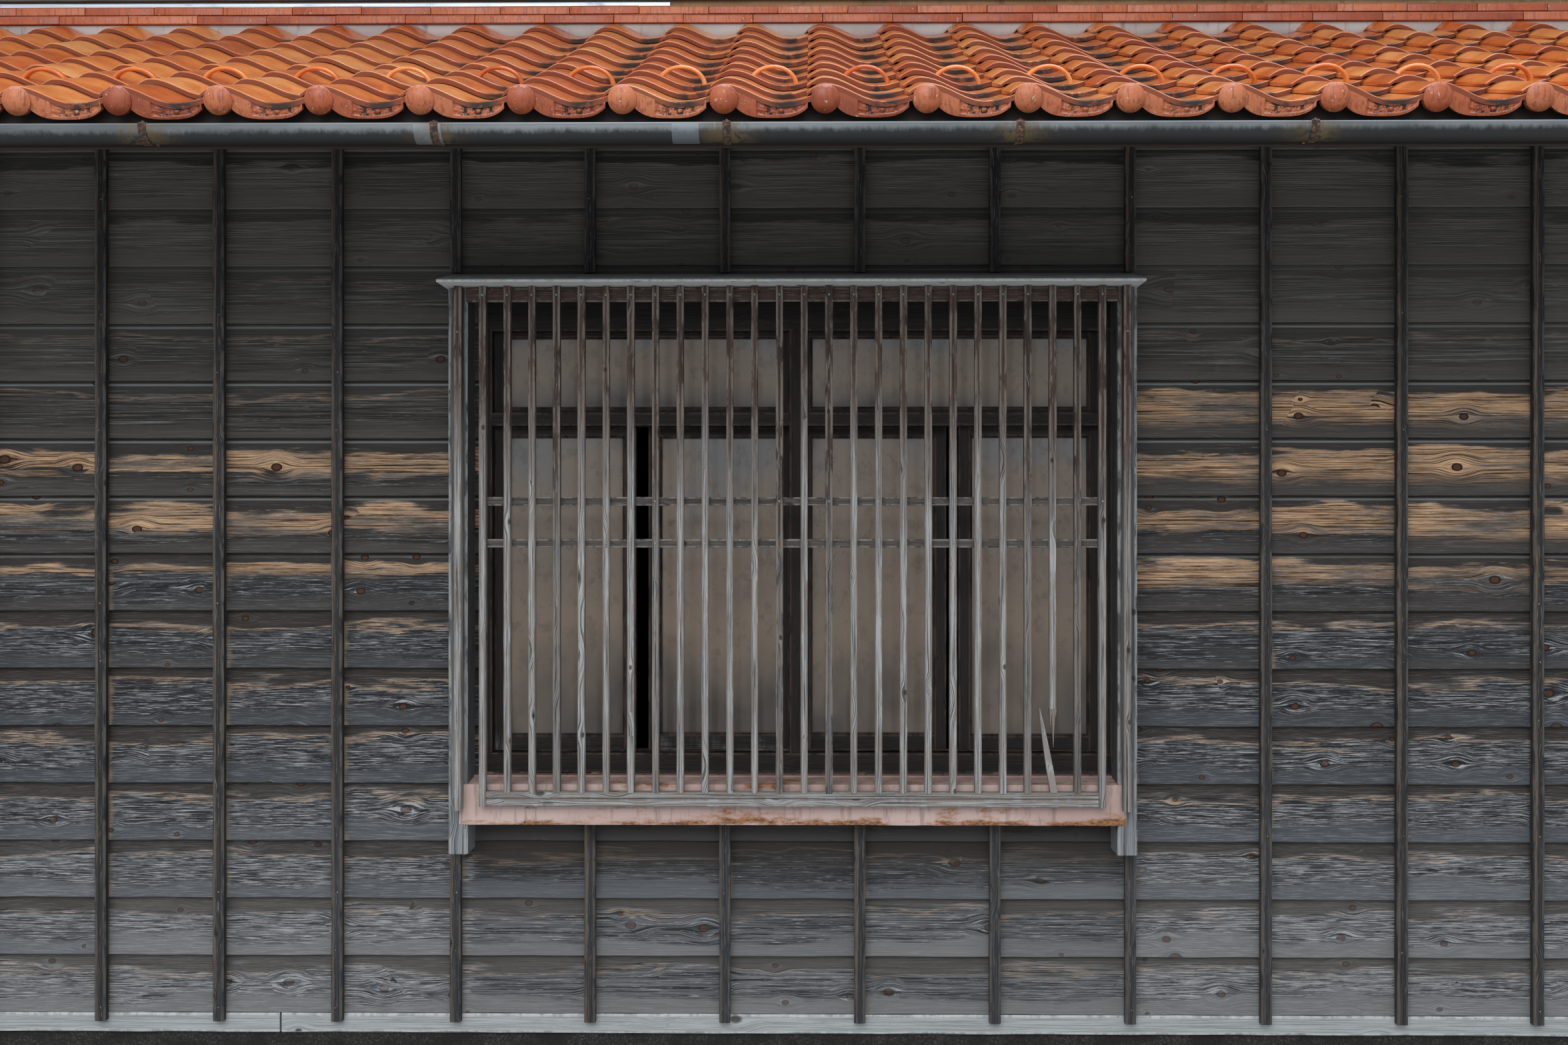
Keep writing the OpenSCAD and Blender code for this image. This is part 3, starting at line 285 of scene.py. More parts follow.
def stained_wood(put, g, base, calm):
    """Stain on the boards: near black above, blue grey low down with white flecks, which are fewer
    where the wall is calm. Towards the eave the colour turns paler as painted light against the eave's
    shade, and darker again at the very top as painted shade under the gutter."""
    # The stops above 2.35 m turn paler as painted light against the eave's shade; the last stop, near the
    # top, is painted shade under the gutter.
    colour = board_state(put, base, (0.10, "#6E7073"), (0.45, "#5C5F63"), (0.70, "#3C3F44"),
                         (1.10, "#2C2F34"), (1.55, "#35363A"), (1.95, "#423F3C"), (2.35, "#504D4A"),
                         (2.62, "#65625E"), (2.94, "#75716C"), (3.05, "#34322F"))
    dark = put("times", put("soft", g["Fibre"], 0.47, 0.59),
               board_state(put, base, (2.10, 0.88), (2.45, 0.45)))
    colour = put("mix", dark, colour, "#121213")
    dim = put("soft", g["Fibre"], 0.47, 0.37, 0.0, 0.62)
    colour = put("mix", dim, colour, "#8B8A89")
    # White flecks where the soft wood has lost its stain, most on the lower boards.
    bare = board_state(put, base, (0.30, 0.16), (0.60, 0.15), (1.15, 0.13), (1.55, 0.09), (1.95, 0.05),
                       (2.30, 0.01))
    bare = put("less", bare, put("times", calm, 0.07))
    ringed = put("plus", put("times", g["Ring"], 0.030), g["Fleck"])
    ringed = put("plus", ringed, bare)
    white = put("soft", ringed, 0.65, 0.75, 0.0, 0.88)
    return put("mix", white, colour, "#B3B5B6")


def bared_wood(put, g):
    """Cedar that the sun has bared: tan, ridged, with pale and dark lines and grey clouds."""
    colour = put("mix", put("soft", g["Fibre"], 0.40, 0.58), "#DDB48C", "#70533D")
    cloud = put("soft", g["Wave"], 0.44, 0.62, 0.0, 0.75)
    colour = put("mix", cloud, colour, "#857B70")
    pale = put("soft", g["Fleck"], 0.46, 0.34, 0.0, 0.75)
    colour = put("mix", pale, colour, "#EFD6B8")
    crack = put("soft", g["Fibre"], 0.52, 0.58, 0.0, 0.94)
    return put("mix", crack, colour, "#1F1814")


def bared_share(put, g, spot, base, edge, under):
    """Where the sun has bared a board: streaks between its bands, one board higher on the right."""
    raised = put("MapRange", spot["X"], 1.0, 1.3, 0.0, -0.15)
    cover = board_state(put, put("plus", base, raised), (1.00, 0.0), (1.15, 0.30), (1.34, 0.62),
                        (1.55, 0.92), (2.00, 1.0), (2.13, 0.42), (2.30, 0.10), (2.42, 0.0))
    lit = put("MapRange", spot["X"], -0.6, 1.0, 0.34, 0.17)
    lower = put("plus", lit, board_state(put, base, (1.30, 0.30), (1.60, 0.24), (1.76, 0.0)))
    over = put("soft", put("less", edge, lower), 0.0, 0.05)
    streak = put("plus", put("times", cover, 0.42), g["Fibre"])
    streak = put("plus", streak, put("MapRange", g["Wave"], 0.3, 0.7, 0.13, -0.13))
    return put("times", put("times", over, under), put("soft", streak, 0.75, 0.90))


def edge_bands(put, g, base, edge, smooth, colour):
    """The smooth lower edge, the band that the board above shelters, and its broken pale line."""
    # The smooth edge turns paler towards the eave as painted light against the eave's shade.
    low = board_state(put, base, (0.30, "#7B7C7C"), (0.60, "#5E6267"), (1.00, "#464B50"),
                      (1.25, "#3A3D40"), (1.60, "#3A3633"), (2.30, "#45423F"), (2.62, "#5A5753"),
                      (3.05, "#66625D"))
    colour = put("mix", smooth, colour, low)
    # The sheltered band turns paler up to 2.60 m as painted light against the eave's shade, then near black
    # at the top as painted shade under the gutter.
    high = board_state(put, base, (0.30, "#57534E"), (0.60, "#423D38"), (1.10, "#37302A"),
                       (1.60, "#38322D"), (2.10, "#3B3937"), (2.60, "#4F4C49"), (2.86, "#292725"))
    colour = put("mix", put("soft", edge, 0.76, 0.84, 0.0, 0.85), colour, high)
    line = put("times", put("soft", edge, 0.70, 0.75), put("soft", edge, 0.81, 0.76))
    line = put("times", line, put("soft", g["Fleck"], 0.46, 0.54))
    line = put("times", line, board_state(put, base, (0.40, 0.35), (0.80, 0.65), (1.90, 0.75),
                                          (2.25, 0.30), (2.60, 0.08)))
    return put("mix", line, colour, "#C3A386")


def tan_and_pale_line(put, g, base, across, by_batten, under, colour):
    """Wood that stays tan beside a batten, and a pale line along the head of the middle boards."""
    kept = board_state(put, base, (0.50, 0.15), (0.80, 0.75), (1.30, 0.75), (1.60, 0.0))
    patch = put("times", put("soft", by_batten, 0.42, 0.80), put("times", under, kept))
    colour = put("mix", patch, colour, put("mix", g["Fibre"], "#C2AD94", "#7A6654"))
    # A pale line just below each board's head, on the middle boards.
    head_line = put("times", put("soft", across, 0.915, 0.93), put("soft", across, 0.965, 0.95))
    head_line = put("times", head_line, board_state(put, base, (1.45, 0.0), (1.70, 0.6), (2.25, 0.75),
                                          (2.50, 0.15)))
    return put("mix", head_line, colour, "#8A9090")


def knots(put, g, base, colour):
    """Brown knots with a black heart, plainest on the middle boards."""
    seen = board_state(put, base, (0.40, 0.6), (1.30, 1.0), (2.20, 1.0), (2.45, 0.35))
    heart = put("mix", put("soft", g["Knot"], 0.70, 1.0), "#14100E", "#51301F")
    return put("mix", put("times", put("soft", g["Knot"], 0.05, 0.35), seen), colour, heart)


def weatherboard_finish():
    """Cedar weatherboards, planed and stained, long weathered. The stain holds in the band under
    each board's neighbour and on its smooth lower edge; between them the sun has bared tan ridged
    wood, and low on the wall the stain has gone blue grey with white flecks."""
    finish, put, place = new_finish("weathered_cedar_boards", IOR=1.45)
    g = put("timber_grain").outputs
    spot = put("SeparateXYZ", place).outputs
    across = put("across").outputs["Fac"]
    end = put("worn").outputs["Fac"]
    # A board keeps one state along its length, so base is the height of its own lower edge.
    fallen = put("plus", put("times", across, -BOARD_GAUGE), spot["Z"])
    base = put("plus", fallen, put("MapRange", g["Tone"], 0.0, 1.0, -0.11, 0.11))
    # No eave shelters the rear wall, so its boards change no further up.
    rear = put("MapRange", spot["Y"], 1.0, 2.0, 3.3, 2.25)
    base = put("Math", base, rear, operation="MINIMUM")
    # Wavering place across the board, for the edges of its bands.
    waver = put("plus", put("MapRange", g["Wave"], 0.3, 0.7, -0.16, 0.16),
                put("MapRange", g["Fleck"], 0.3, 0.7, -0.07, 0.07))
    edge = put("plus", across, waver)
    # Under the window and its flashing the wall is calm, and the top board there is sheltered.
    beside = put("Math", put("less", spot["X"], (WIN_X0 + WIN_X1) / 2), operation="ABSOLUTE")
    calm = put("soft", beside, (WIN_X1 - WIN_X0) / 2 + 0.06, (WIN_X1 - WIN_X0) / 2)
    under = put("soft", edge, 0.80, 0.72)
    smooth = put("soft", edge, 0.33, 0.22, 0.0, 0.75)
    colour = put("mix", bared_share(put, g, spot, base, edge, under),
                 stained_wood(put, g, base, calm), bared_wood(put, g))
    colour = edge_bands(put, g, base, edge, smooth, colour)
    colour = tan_and_pale_line(put, g, base, across, put("plus", end, waver), under, colour)
    colour = knots(put, g, base, colour)
    hidden = put("times", put("soft", spot["Z"], 0.60, 0.74, 0.0, 0.75), calm)
    hidden = put("times", hidden, put("soft", spot["Z"], 0.95, 0.90))
    colour = put("mix", hidden, colour, "#38332E")
    relief = put("plus", g["Fibre"], put("times", g["Ring"], 0.08))
    relief = put("less", relief, put("times", g["Knot"], 0.25))
    depth = put("times", relief, put("MapRange", smooth, 0.0, 0.8, 1.0, 0.35))
    return wire(finish, Base_Color=colour, Roughness=put("soft", across, 0.05, 0.25, 0.62, 0.86),
                Normal=put("Bump", 1.0, 0.003, None, depth))


def worn_timber(name, face, deep, edge, pale, low=None, low_z=(0.0, 1.0), strip=None, dark=0.0):
    """A stained softwood member: face and deep colours along its fibres, bared wood where its
    arrises are worn, pale flecks, another face colour low down, on some members a strip of bared
    wood along the left of the face, and some members darker by the share dark."""
    finish, put, place = new_finish(name, Roughness=0.74, IOR=1.45)
    g = put("timber_grain").outputs
    worn = put("worn").outputs["Fac"]
    chipped = put("marks", place, (30, 30, 90), 4.0, 0.62)
    if low:
        height = put("SeparateXYZ", place).outputs["Z"]
        ragged = put("plus", chipped, put("times", g["Tone"], 1.2))
        height = put("plus", height, put("times", ragged, 0.25))
        face = put("mix", put("soft", height, *low_z), low, face)
    if strip:
        beside = put("SeparateXYZ", put("grain").outputs["Vector"]).outputs["Y"]
        ragged = put("plus", beside, put("times", g["Wave"], 0.016))
        left = put("soft", ragged, 0.024, 0.019)
        bared = put("soft", g["Tone"], 0.35, 0.75, 0.15, 0.85)
        share = put("times", put("times", left, bared), put("soft", g["Fleck"], 0.42, 0.56, 1.0, 0.35))
        face = put("mix", share, face, strip)
    face = put("mix", put("MapRange", g["Tone"], 0.5, 1.0, 0.0, dark), face, deep)
    colour = put("mix", put("soft", g["Fibre"], 0.44, 0.60, 0.0, 0.88), face, deep)
    flecked = put("soft", g["Fleck"], 0.57, 0.68, 0.0, 0.7)
    colour = put("mix", flecked, colour, pale)
    bared = put("times", worn, put("soft", chipped, 0.38, 0.56))
    colour = put("mix", bared, colour, edge)
    dark = put("times", g["Knot"], 0.8)
    colour = put("mix", dark, colour, "#1C1512")
    relief = put("plus", g["Fibre"], put("times", g["Ring"], 0.06))
    return wire(finish, Base_Color=colour, Normal=put("Bump", 0.8, 0.0015, None, relief))


def pan_dirt(put, own, place):
    """Where dirt lies in a tile's pan: in blots up the slope, and along the lip."""
    off = put("Math", put("less", own["X"], PAN_MID), operation="ABSOLUTE")
    pan = put("soft", off, 0.060, 0.012)
    blot = put("marks", place, (70, 50, 50), 5.0, 0.7)
    standing = put("times", put("times", pan, put("soft", own["Y"], 0.12, 0.20)),
                   put("soft", blot, 0.38, 0.56))
    lip = put("times", put("times", pan, put("soft", own["Y"], 0.024, 0.006)),
              put("soft", blot, 0.40, 0.50))
    return put("larger", standing, lip)


def glazed_tile_finish():
    """Pantiles with a fired orange glaze: smooth and glossy, each tile a little off its
    neighbour's colour, the front edge dull and brown, black dirt in the pans where water stands."""
    finish, put, place = new_finish("orange_glazed_clay", IOR=1.52, Coat_Weight=0.35,
                                    Coat_Roughness=0.12)
    tone = put("tone").outputs["Fac"]
    on_tile = put("on_tile").outputs["Vector"]
    own = put("SeparateXYZ", on_tile).outputs
    cloud = put("marks", place, (95, 150, 95), 3.0, 0.55)
    speck = put("marks", place, (6, 6, 6), 3.0, 0.6)
    fired = put("plus", put("times", tone, 0.45), put("times", cloud, 0.72))
    colour = put("ValToRGB", fired, stops=[(0.15, "#AE4C1A"), (0.42, "#D0692C"), (0.68, "#E5863F"),
                                           (0.95, "#F0A868")])
    colour = put("mix", put("soft", speck, 0.58, 0.70, 0.0, 0.4), colour, "#8E3F1A")
    # Painted highlight along the arris; the front face is darker and browner.
    front = put("soft", own["Z"], 0.45, 0.95)
    arris = put("times", put("soft", own["Z"], 0.05, 0.30), put("soft", own["Z"], 0.75, 0.45))
    colour = put("mix", put("times", front, 0.9), colour, "#7C3418")
    colour = put("mix", put("times", arris, 0.30), colour, "#EBB488")
    # Painted shade where the next course lies on the tile, and dirt in the pan.
    lap_shade = put("soft", own["Y"], COURSE_LEN - 0.034, COURSE_LEN - 0.004, 0.0, 0.85)
    colour = put("mix", lap_shade, colour, "#3A170B")
    dirt = pan_dirt(put, own, place)
    colour = put("mix", put("times", dirt, 0.92), colour, "#1F1713")
    gloss = put("soft", cloud, 0.3, 0.7, 0.22, 0.38)
    gloss = put("plus", gloss, put("times", put("larger", dirt, front), 0.4))
    relief = put("plus", speck, put("times", cloud, 2.5))
    return wire(finish, Base_Color=colour, Roughness=gloss,
                Normal=put("Bump", 0.5, 0.0006, None, relief))


def matt_tile_finish(name, sky_sheen_share):
    """Moulded eave faces, balls and flat ridge tiles: the same clay with a thin dull glaze, a pink
    painted reflection of the sky where it turns upwards, streaks where rain runs off, lichen spots,
    black dirt in its hollows."""
    finish, put, place = new_finish(name, IOR=1.5, Coat_Weight=0.10, Coat_Roughness=0.3)
    tone = put("tone").outputs["Fac"]
    sunk = put("worn").outputs["Fac"]
    up = put("SeparateXYZ", put("NewGeometry").outputs["Normal"]).outputs["Z"]
    cloud = put("marks", place, (60, 60, 60), 4.0, 0.55)
    run = put("marks", place, (8, 8, 60), 4.0, 0.6)
    speck = put("marks", place, (4, 4, 4), 3.0, 0.6)
    fired = put("plus", put("times", tone, 0.55), put("times", cloud, 0.6))
    colour = put("ValToRGB", fired, stops=[(0.15, "#8A3F24"), (0.5, "#AE5732"), (0.85, "#C4744C")])
    colour = put("mix", put("soft", run, 0.50, 0.64, 0.0, 0.6), colour, "#7E3A22")
    # Painted reflection of the sky, pink, on faces that turn upwards; the share says how strong.
    sky_facing = put("plus", up, put("MapRange", run, 0.3, 0.7, -0.10, 0.10))
    colour = put("mix", put("soft", sky_facing, 0.30, 0.42, 0.0, sky_sheen_share), colour, "#C79388")
    colour = put("mix", put("soft", speck, 0.60, 0.70, 0.0, 0.6), colour, "#6E3422")
    lichen = put("soft", put("marks", place, (11, 11, 11), 3.0, 0.6), 0.66, 0.70, 0.0, 0.7)
    colour = put("mix", lichen, colour, "#C9BFB2")
    grime = put("times", sunk, put("soft", cloud, 0.36, 0.54, 0.25, 1.0))
    colour = put("mix", grime, colour, "#2A1B15")
    return wire(finish, Base_Color=colour, Roughness=put("soft", cloud, 0.3, 0.7, 0.42, 0.60),
                Normal=put("Bump", 0.5, 0.0005, None, speck))


def plaster_finish(name, body, stain, dirt, relief_mm=1.2, straw=False):
    """Trowelled plaster: fine sand, trowel marks, water stains running down; clay plaster also
    shows its chopped straw."""
    finish, put, place = new_finish(name, Roughness=0.9, IOR=1.45)
    sand = put("marks", place, (3, 3, 3), 3.0, 0.7)
    trowel = put("marks", place, (370, 170, 170), 3.0, 0.55)
    run = put("marks", place, (45, 45, 270), 4.0, 0.65)
    colour = put("mix", put("soft", trowel, 0.35, 0.65), body, stain)
    colour = put("mix", put("soft", run, 0.54, 0.72, 0.0, 0.7), colour, dirt)
    colour = put("mix", put("soft", sand, 0.55, 0.75, 0.0, 0.35), colour, dirt)
    height = put("plus", sand, put("times", trowel, 2.5))
    if straw:
        chopped = put("larger", put("soft", put("marks", place, (5, 5, 35), 2.0, 0.5), 0.64, 0.70),
                      put("soft", put("marks", place, (35, 35, 5), 2.0, 0.5), 0.64, 0.70))
        colour = put("mix", put("times", chopped, 0.6), colour, "#C9B184")
        height = put("plus", height, chopped)
    return wire(finish, Base_Color=colour, Normal=put("Bump", 0.7, relief_mm / 1000, None, height))


def flashing_finish():
    """Window flashing of sheet steel, brushed with pale pink oil paint: chalky and nearly matt,
    redder along its nailed upper edge, orange rust in long stretches on the lip, dirt runs."""
    finish, put, place = new_finish("pale_pink_painted_steel", IOR=1.5)
    spot = put("SeparateXYZ", place).outputs
    sheet = put("marks", place, (420, 200, 200), 3.0, 0.55)
    run = put("marks", place, (22, 22, 150), 4.0, 0.65)
    scab = put("marks", place, (170, 55, 55), 5.0, 0.72)
    speck = put("marks", place, (12, 6, 6), 3.0, 0.6)
    colour = put("mix", put("soft", sheet, 0.35, 0.65), "#C9B0A9", "#B89C94")
    upper = put("soft", spot["Y"], -0.056, -0.050, 0.0, 0.75)
    colour = put("mix", upper, colour, "#9C6458")
    colour = put("mix", put("soft", run, 0.50, 0.70, 0.0, 0.6), colour, "#84706A")
    foot = FLASH_TOP - FLASH_H
    low = put("soft", spot["Z"], foot + 0.034, foot + 0.004)
    bend = put("times", put("soft", spot["Z"], FLASH_TOP - 0.030, FLASH_TOP - 0.004, 0.0, 0.75),
               put("soft", spot["Z"], FLASH_TOP + 0.012, FLASH_TOP + 0.002))
    risk = put("times", put("larger", low, put("times", bend, 0.30)), 0.155)
    eaten = put("plus", scab, risk)
    rust = put("soft", eaten, 0.61, 0.70, 0.0, 0.85)
    colour = put("mix", put("soft", eaten, 0.55, 0.64, 0.0, 0.6), colour, "#A87A58")
    brown = put("mix", put("soft", speck, 0.40, 0.60), "#5A3A28", "#A06A3C")
    colour = put("mix", rust, colour, brown)
    relief = put("plus", put("times", rust, speck), put("times", sheet, 0.6))
    return wire(finish, Base_Color=colour, Roughness=put("MapRange", rust, 0.0, 1.0, 0.52, 0.88),
                Normal=put("Bump", 0.7, 0.001, None, relief))


def gutter_finish():
    """Half-round gutter of galvanised sheet, dulled to grey: soft metal gloss, a painted highlight
    along the top of its bead, painted shade over the belly, yellow-brown rust running down from each strap."""
    finish, put, place = new_finish("dulled_galvanised_gutter", IOR=1.5)
    bright = put("worn").outputs["Fac"]
    near = put("tone").outputs["Fac"]
    drop = put("across").outputs["Fac"]
    sheet = put("marks", place, (500, 90, 90), 4.0, 0.6)
    drip = put("marks", place, (20, 20, 80), 5.0, 0.72)
    colour = put("mix", put("soft", sheet, 0.3, 0.7), "#565B5E", "#7A8083")
    # The belly is darker towards the right.
    lighter_leftward = put("MapRange", put("SeparateXYZ", place).outputs["X"], -3.0, 0.5, 0.62, 0.36)
    # Painted shade over the belly and its back, most where the sheet faces down, broken by drips.
    below = put("plus", drop, put("MapRange", drip, 0.3, 0.7, -0.14, 0.14))
    below = put("less", below, lighter_leftward)
    belly = put("soft", below, -0.28, 0.16, 0.0, 0.96)
    colour = put("mix", belly, colour, "#161718")
    stain = put("times", near, put("soft", drip, 0.38, 0.54, 0.0, 0.85))
    colour = put("mix", stain, colour, put("mix", sheet, "#8A7040", "#2A211A"))
    # Painted highlight along the top of the bead; the sleeves are a little paler.
    colour = put("mix", bright, colour, "#B4BFC9")
    return wire(finish, Base_Color=colour, Metallic=put("times", bright, 0.7),
                Roughness=put("MapRange", bright, 0.0, 1.0, 0.54, 0.32),
                Normal=put("Bump", 0.4, 0.001, None, sheet))


def iron_finish():
    """Forged straps and nail heads: iron rusted brown, its scale black, dull and rough."""
    finish, put, place = new_finish("rusted_forged_iron", Roughness=0.85, IOR=1.5)
    scale = put("marks", place, (9, 9, 9), 4.0, 0.65)
    tone = put("tone").outputs["Fac"]
    colour = put("ValToRGB", put("plus", scale, put("MapRange", tone, 0.0, 1.0, -0.08, 0.08)),
                 stops=[(0.34, "#1F1B1A"), (0.5, "#3B302B"), (0.62, "#6B4830"), (0.7, "#83623C")])
    return wire(finish, Base_Color=colour, Normal=put("Bump", 0.6, 0.0006, None, scale))


def nail_finish():
    """Heads of galvanised nails: small, pale and a little worn."""
    finish, put, place = new_finish("galvanised_nail_head", Roughness=0.6, IOR=1.5)
    spot = put("marks", place, (5, 5, 5), 3.0, 0.6)
    colour = put("mix", put("soft", spot, 0.35, 0.65), "#9EA1A3", "#6D6864")
    return wire(finish, Base_Color=colour)


def strip_finish():
    """Cover strip of bright aluminium sheet: pale and blue, faint rolling lines, dull spots."""
    finish, put, place = new_finish("pale_aluminium_sheet", Metallic=0.35)
    rolled = put("marks", place, (200, 5, 5), 3.0, 0.6)
    spots = put("marks", place, (140, 70, 70), 4.0, 0.7)
    colour = put("mix", put("soft", rolled, 0.3, 0.7), "#B4C3D3", "#D3DEE8")
    colour = put("mix", put("soft", spots, 0.55, 0.72, 0.0, 0.5), colour, "#7C8894")
    return wire(finish, Base_Color=colour, Roughness=put("MapRange", spots, 0.3, 0.7, 0.3, 0.5),
                Normal=put("Bump", 0.4, 0.0002, None, rolled))


def glass_finish():
    """Obscured window glass, sand-blasted on its inner face: a dull taupe with the dark room
    behind; painted reflections make it blue grey and darker towards each pane's top and near black at its
    foot, painted shade of the frame darkens its corners, smooth gloss outside."""
    finish, put, place = new_finish("obscured_sheet_glass", IOR=1.52, Coat_Weight=0.6,
                                    Coat_Roughness=0.08)
    high = put("across").outputs["Fac"]
    frame_shade = put("worn").outputs["Fac"]
    cloud = put("marks", place, (300, 300, 420), 3.0, 0.5)
    grit = put("marks", place, (4, 4, 4), 2.0, 0.6)
    # Painted reflections by the pane's height: near black at the foot, grey at the top.
    own = put("plus", high, put("MapRange", cloud, 0.3, 0.7, -0.20, 0.20))
    colour = put("ValToRGB", own, stops=[(0.0, "#463E38"), (0.16, "#6E6257"), (0.40, "#8A7969"),
                                         (0.82, "#8D7E70"), (1.0, "#7A7A7A")])
    mould = put("soft", put("marks", place, (45, 45, 60), 5.0, 0.7), 0.50, 0.66, 0.0, 0.45)
    colour = put("mix", mould, colour, "#5E5043")
    colour = put("mix", put("soft", grit, 0.4, 0.7, 0.0, 0.18), colour, "#5F574F")
    # Painted shade of the frame, darkest in the pane's corners.
    colour = put("mix", put("soft", frame_shade, 0.25, 1.0, 0.0, 0.75), colour, "#35332F")
    return wire(finish, Base_Color=colour, Roughness=put("MapRange", cloud, 0.3, 0.7, 0.5, 0.36))


def stone_finish():
    """Foundation of dressed granite: grey with dark and pale grains, damp and sooty blotches, all of it
    darkened to nearly black as painted shade under the sill."""
    finish, put, place = new_finish("dressed_granite_in_painted_shade", Roughness=0.85, IOR=1.5)
    grains = put("SeparateColor", put("TexVoronoi", place, 210.0,
                                      feature="F1").outputs["Color"]).outputs["Red"]
    cloud = put("marks", place, (160, 160, 90), 4.0, 0.6)
    # The grains' colours are darkened to nearly black as painted shade under the sill.
    colour = put("ValToRGB", grains, stops=[(0.0, "#161514"), (0.3, "#242221"), (0.75, "#33312F"),
                                            (1.0, "#4A4844")])
    colour = put("mix", put("soft", cloud, 0.40, 0.62, 0.0, 0.85), colour, "#181614")
    relief = put("plus", grains, put("times", cloud, 3.0))
    return wire(finish, Base_Color=colour, Normal=put("Bump", 0.6, 0.0015, None, relief))


# ---- pieces ----

class Piece:
    """Gathers a piece's points and faces. Each point carries what the finishes read: grain (metres
    along and across the board, and the board's own number), tone, worn and across."""

    def __init__(self, name):
        self.name = name
        self.points, self.faces, self.finish_of = [], [], []
        self.grain, self.tone, self.worn, self.across = [], [], [], []

    def point(self, place, grain=(0, 0, 0), tone=0.5, worn=0.0, across=0.5):
        """Adds a point and tells its number."""
        self.points.append(tuple(place))
        self.grain.append(tuple(grain))
        self.tone.append(tone)
        self.worn.append(worn)
        self.across.append(across)
        return len(self.points) - 1

    def loft(self, rings, finish=0):
        """Skins rings of points, each closed on itself, and caps both ends."""
        for first, second in zip(rings, rings[1:]):
            for i in range(len(first)):
                j = (i + 1) % len(first)
                self.faces.append((first[i], first[j], second[j], second[i]))
        self.faces += [tuple(rings[0]), tuple(rings[-1])]
        self.finish_of += [finish] * (len(self.faces) - len(self.finish_of))

    def built(self, *finishes, sharp=35):
        """The mesh object, its faces turned outwards, smooth but for arrises over sharp degrees."""
        mesh = bpy.data.meshes.new(self.name)
        mesh.from_pydata(self.points, [], self.faces)
        for name, kind, values in (("grain", "FLOAT_VECTOR", self.grain), ("tone", "FLOAT", self.tone),
                                   ("worn", "FLOAT", self.worn), ("across", "FLOAT", self.across)):
            layer = mesh.attributes.new(name, kind, "POINT")
            flat = [v for value in values for v in value] if kind == "FLOAT_VECTOR" else values
            layer.data.foreach_set("vector" if kind == "FLOAT_VECTOR" else "value", flat)
        for finish in finishes:
            mesh.materials.append(finish)
        mesh.polygons.foreach_set("material_index", self.finish_of)
        finish_mesh(mesh, sharp)
        piece = bpy.data.objects.new(self.name, mesh)
        SCENE.collection.objects.link(piece)
        return piece


def finish_mesh(mesh, sharp):
    """Turns a closed mesh's faces outwards and smooths all but its sharp arrises."""
    turned = bmesh.new()
    turned.from_mesh(mesh)
    bmesh.ops.recalc_face_normals(turned, faces=turned.faces)
    turned.to_mesh(mesh)
    turned.free()
    mesh.polygons.foreach_set("use_smooth", [True] * len(mesh.polygons))
    mesh.set_sharp_from_angle(angle=math.radians(sharp))


def spaced(low, high, cells):
    """Values from low to high, both included."""
    return [low + (high - low) * n / cells for n in range(cells + 1)]


def round_turn(sides):
    """Angles once round."""
    return [2 * math.pi * k / sides for k in range(sides)]


def started(name, seed, node):
    """A new piece, its own chance numbers, and the corners of the solid that it stands for."""
    return (Piece(name), random.Random(seed)) + tuple(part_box(node))


def dress(piece, slot, *nodes):
    """Fastens a finished piece to the house and lets it stand for its solids."""
    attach(piece, ROOT)
    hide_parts(*nodes)


def timber(piece, low, high, along, rnd, arris=ARRIS, rows=1, finish=0, wave=0.0):
    """A sawn member between two corners, its fibres along the axis numbered along. Each face has a
    strip beside the arris that counts as worn; rows of rings let the arris and faces waver."""
    side, up = [a for a in (0, 1, 2) if a != along]
    size = [high[a] - low[a] for a in (0, 1, 2)]
    own, shift, tone = rnd.uniform(0, FAR_NUMBER), rnd.uniform(0, 9), rnd.random()
    inset = min(WORN_EDGE, size[side] * 0.3, size[up] * 0.3)
    rings = []
    for row in range(rows + 1):
        chip = arris * rnd.uniform(CHIP_LOW, CHIP_HIGH)
        sway = [rnd.uniform(0, wave), rnd.uniform(0, wave)]
        run = low[along] + size[along] * row / rows
        ring, girth = [], 0.0
        corners = ((0, 0), (1, 0), (1, 1), (0, 1))
        for n, (cs, cu) in enumerate(corners):
            ns, nu = corners[(n + 1) % 4]
            reach = size[side] if cs != ns else size[up]
            for t in (chip, chip + inset, reach - chip - inset, reach - chip):
                f = t / reach
                s = low[side] + size[side] * (cs + (ns - cs) * f)
                u = low[up] + size[up] * (cu + (nu - cu) * f)
                s += sway[0] if cs == ns == 0 else -sway[0] if cs == ns == 1 else 0
                u += sway[1] if cu == nu == 0 else -sway[1] if cu == nu == 1 else 0
                spot = [0, 0, 0]
                spot[along], spot[side], spot[up] = run, s, u
                edge = 1.0 if t in (chip, reach - chip) else 0.0
                ring.append(piece.point(spot, (run + shift, girth + t, own), tone, edge))
            girth += reach
        rings.append(ring)
    piece.loft(rings, finish)


# ---- board walls ----

def board_face(low, cut_low, cut_high):
    """Outline of a weatherboard between two cuts, from its lower edge up: depth off the wall,
    height and share across."""
    rise = BOARD_BUTT - BOARD_HEAD
    heights = [low + BOARD_GAUGE * v for v in (0.0, 0.012, 0.055, 0.16, 0.40, 0.70, 0.88, 1.0)]
    heights = [z for z in heights if cut_low + 0.001 <= z <= cut_high - 0.001]
    line = []
    for z in [cut_low] + heights + [cut_high]:
        v = (z - low) / BOARD_GAUGE
        line.append((BOARD_BUTT - rise * v - (BUTT_EASE if z == cut_low else 0), z, v))
    return line


def board_parts(z0, rows, gaps):
    """Each board's foot, and the stretch of its height that windows and doors leave."""
    for n in range(rows):
        low = z0 + n * BOARD_GAUGE
        parts = [(low, low + BOARD_GAUGE)]
        for g0, g1 in gaps:
            parts = [cut for a, b in parts for cut in ((a, min(b, g0)), (max(a, g1), b))
                     if cut[1] - cut[0] > 0.004]
        for part in parts:
            yield (low,) + part


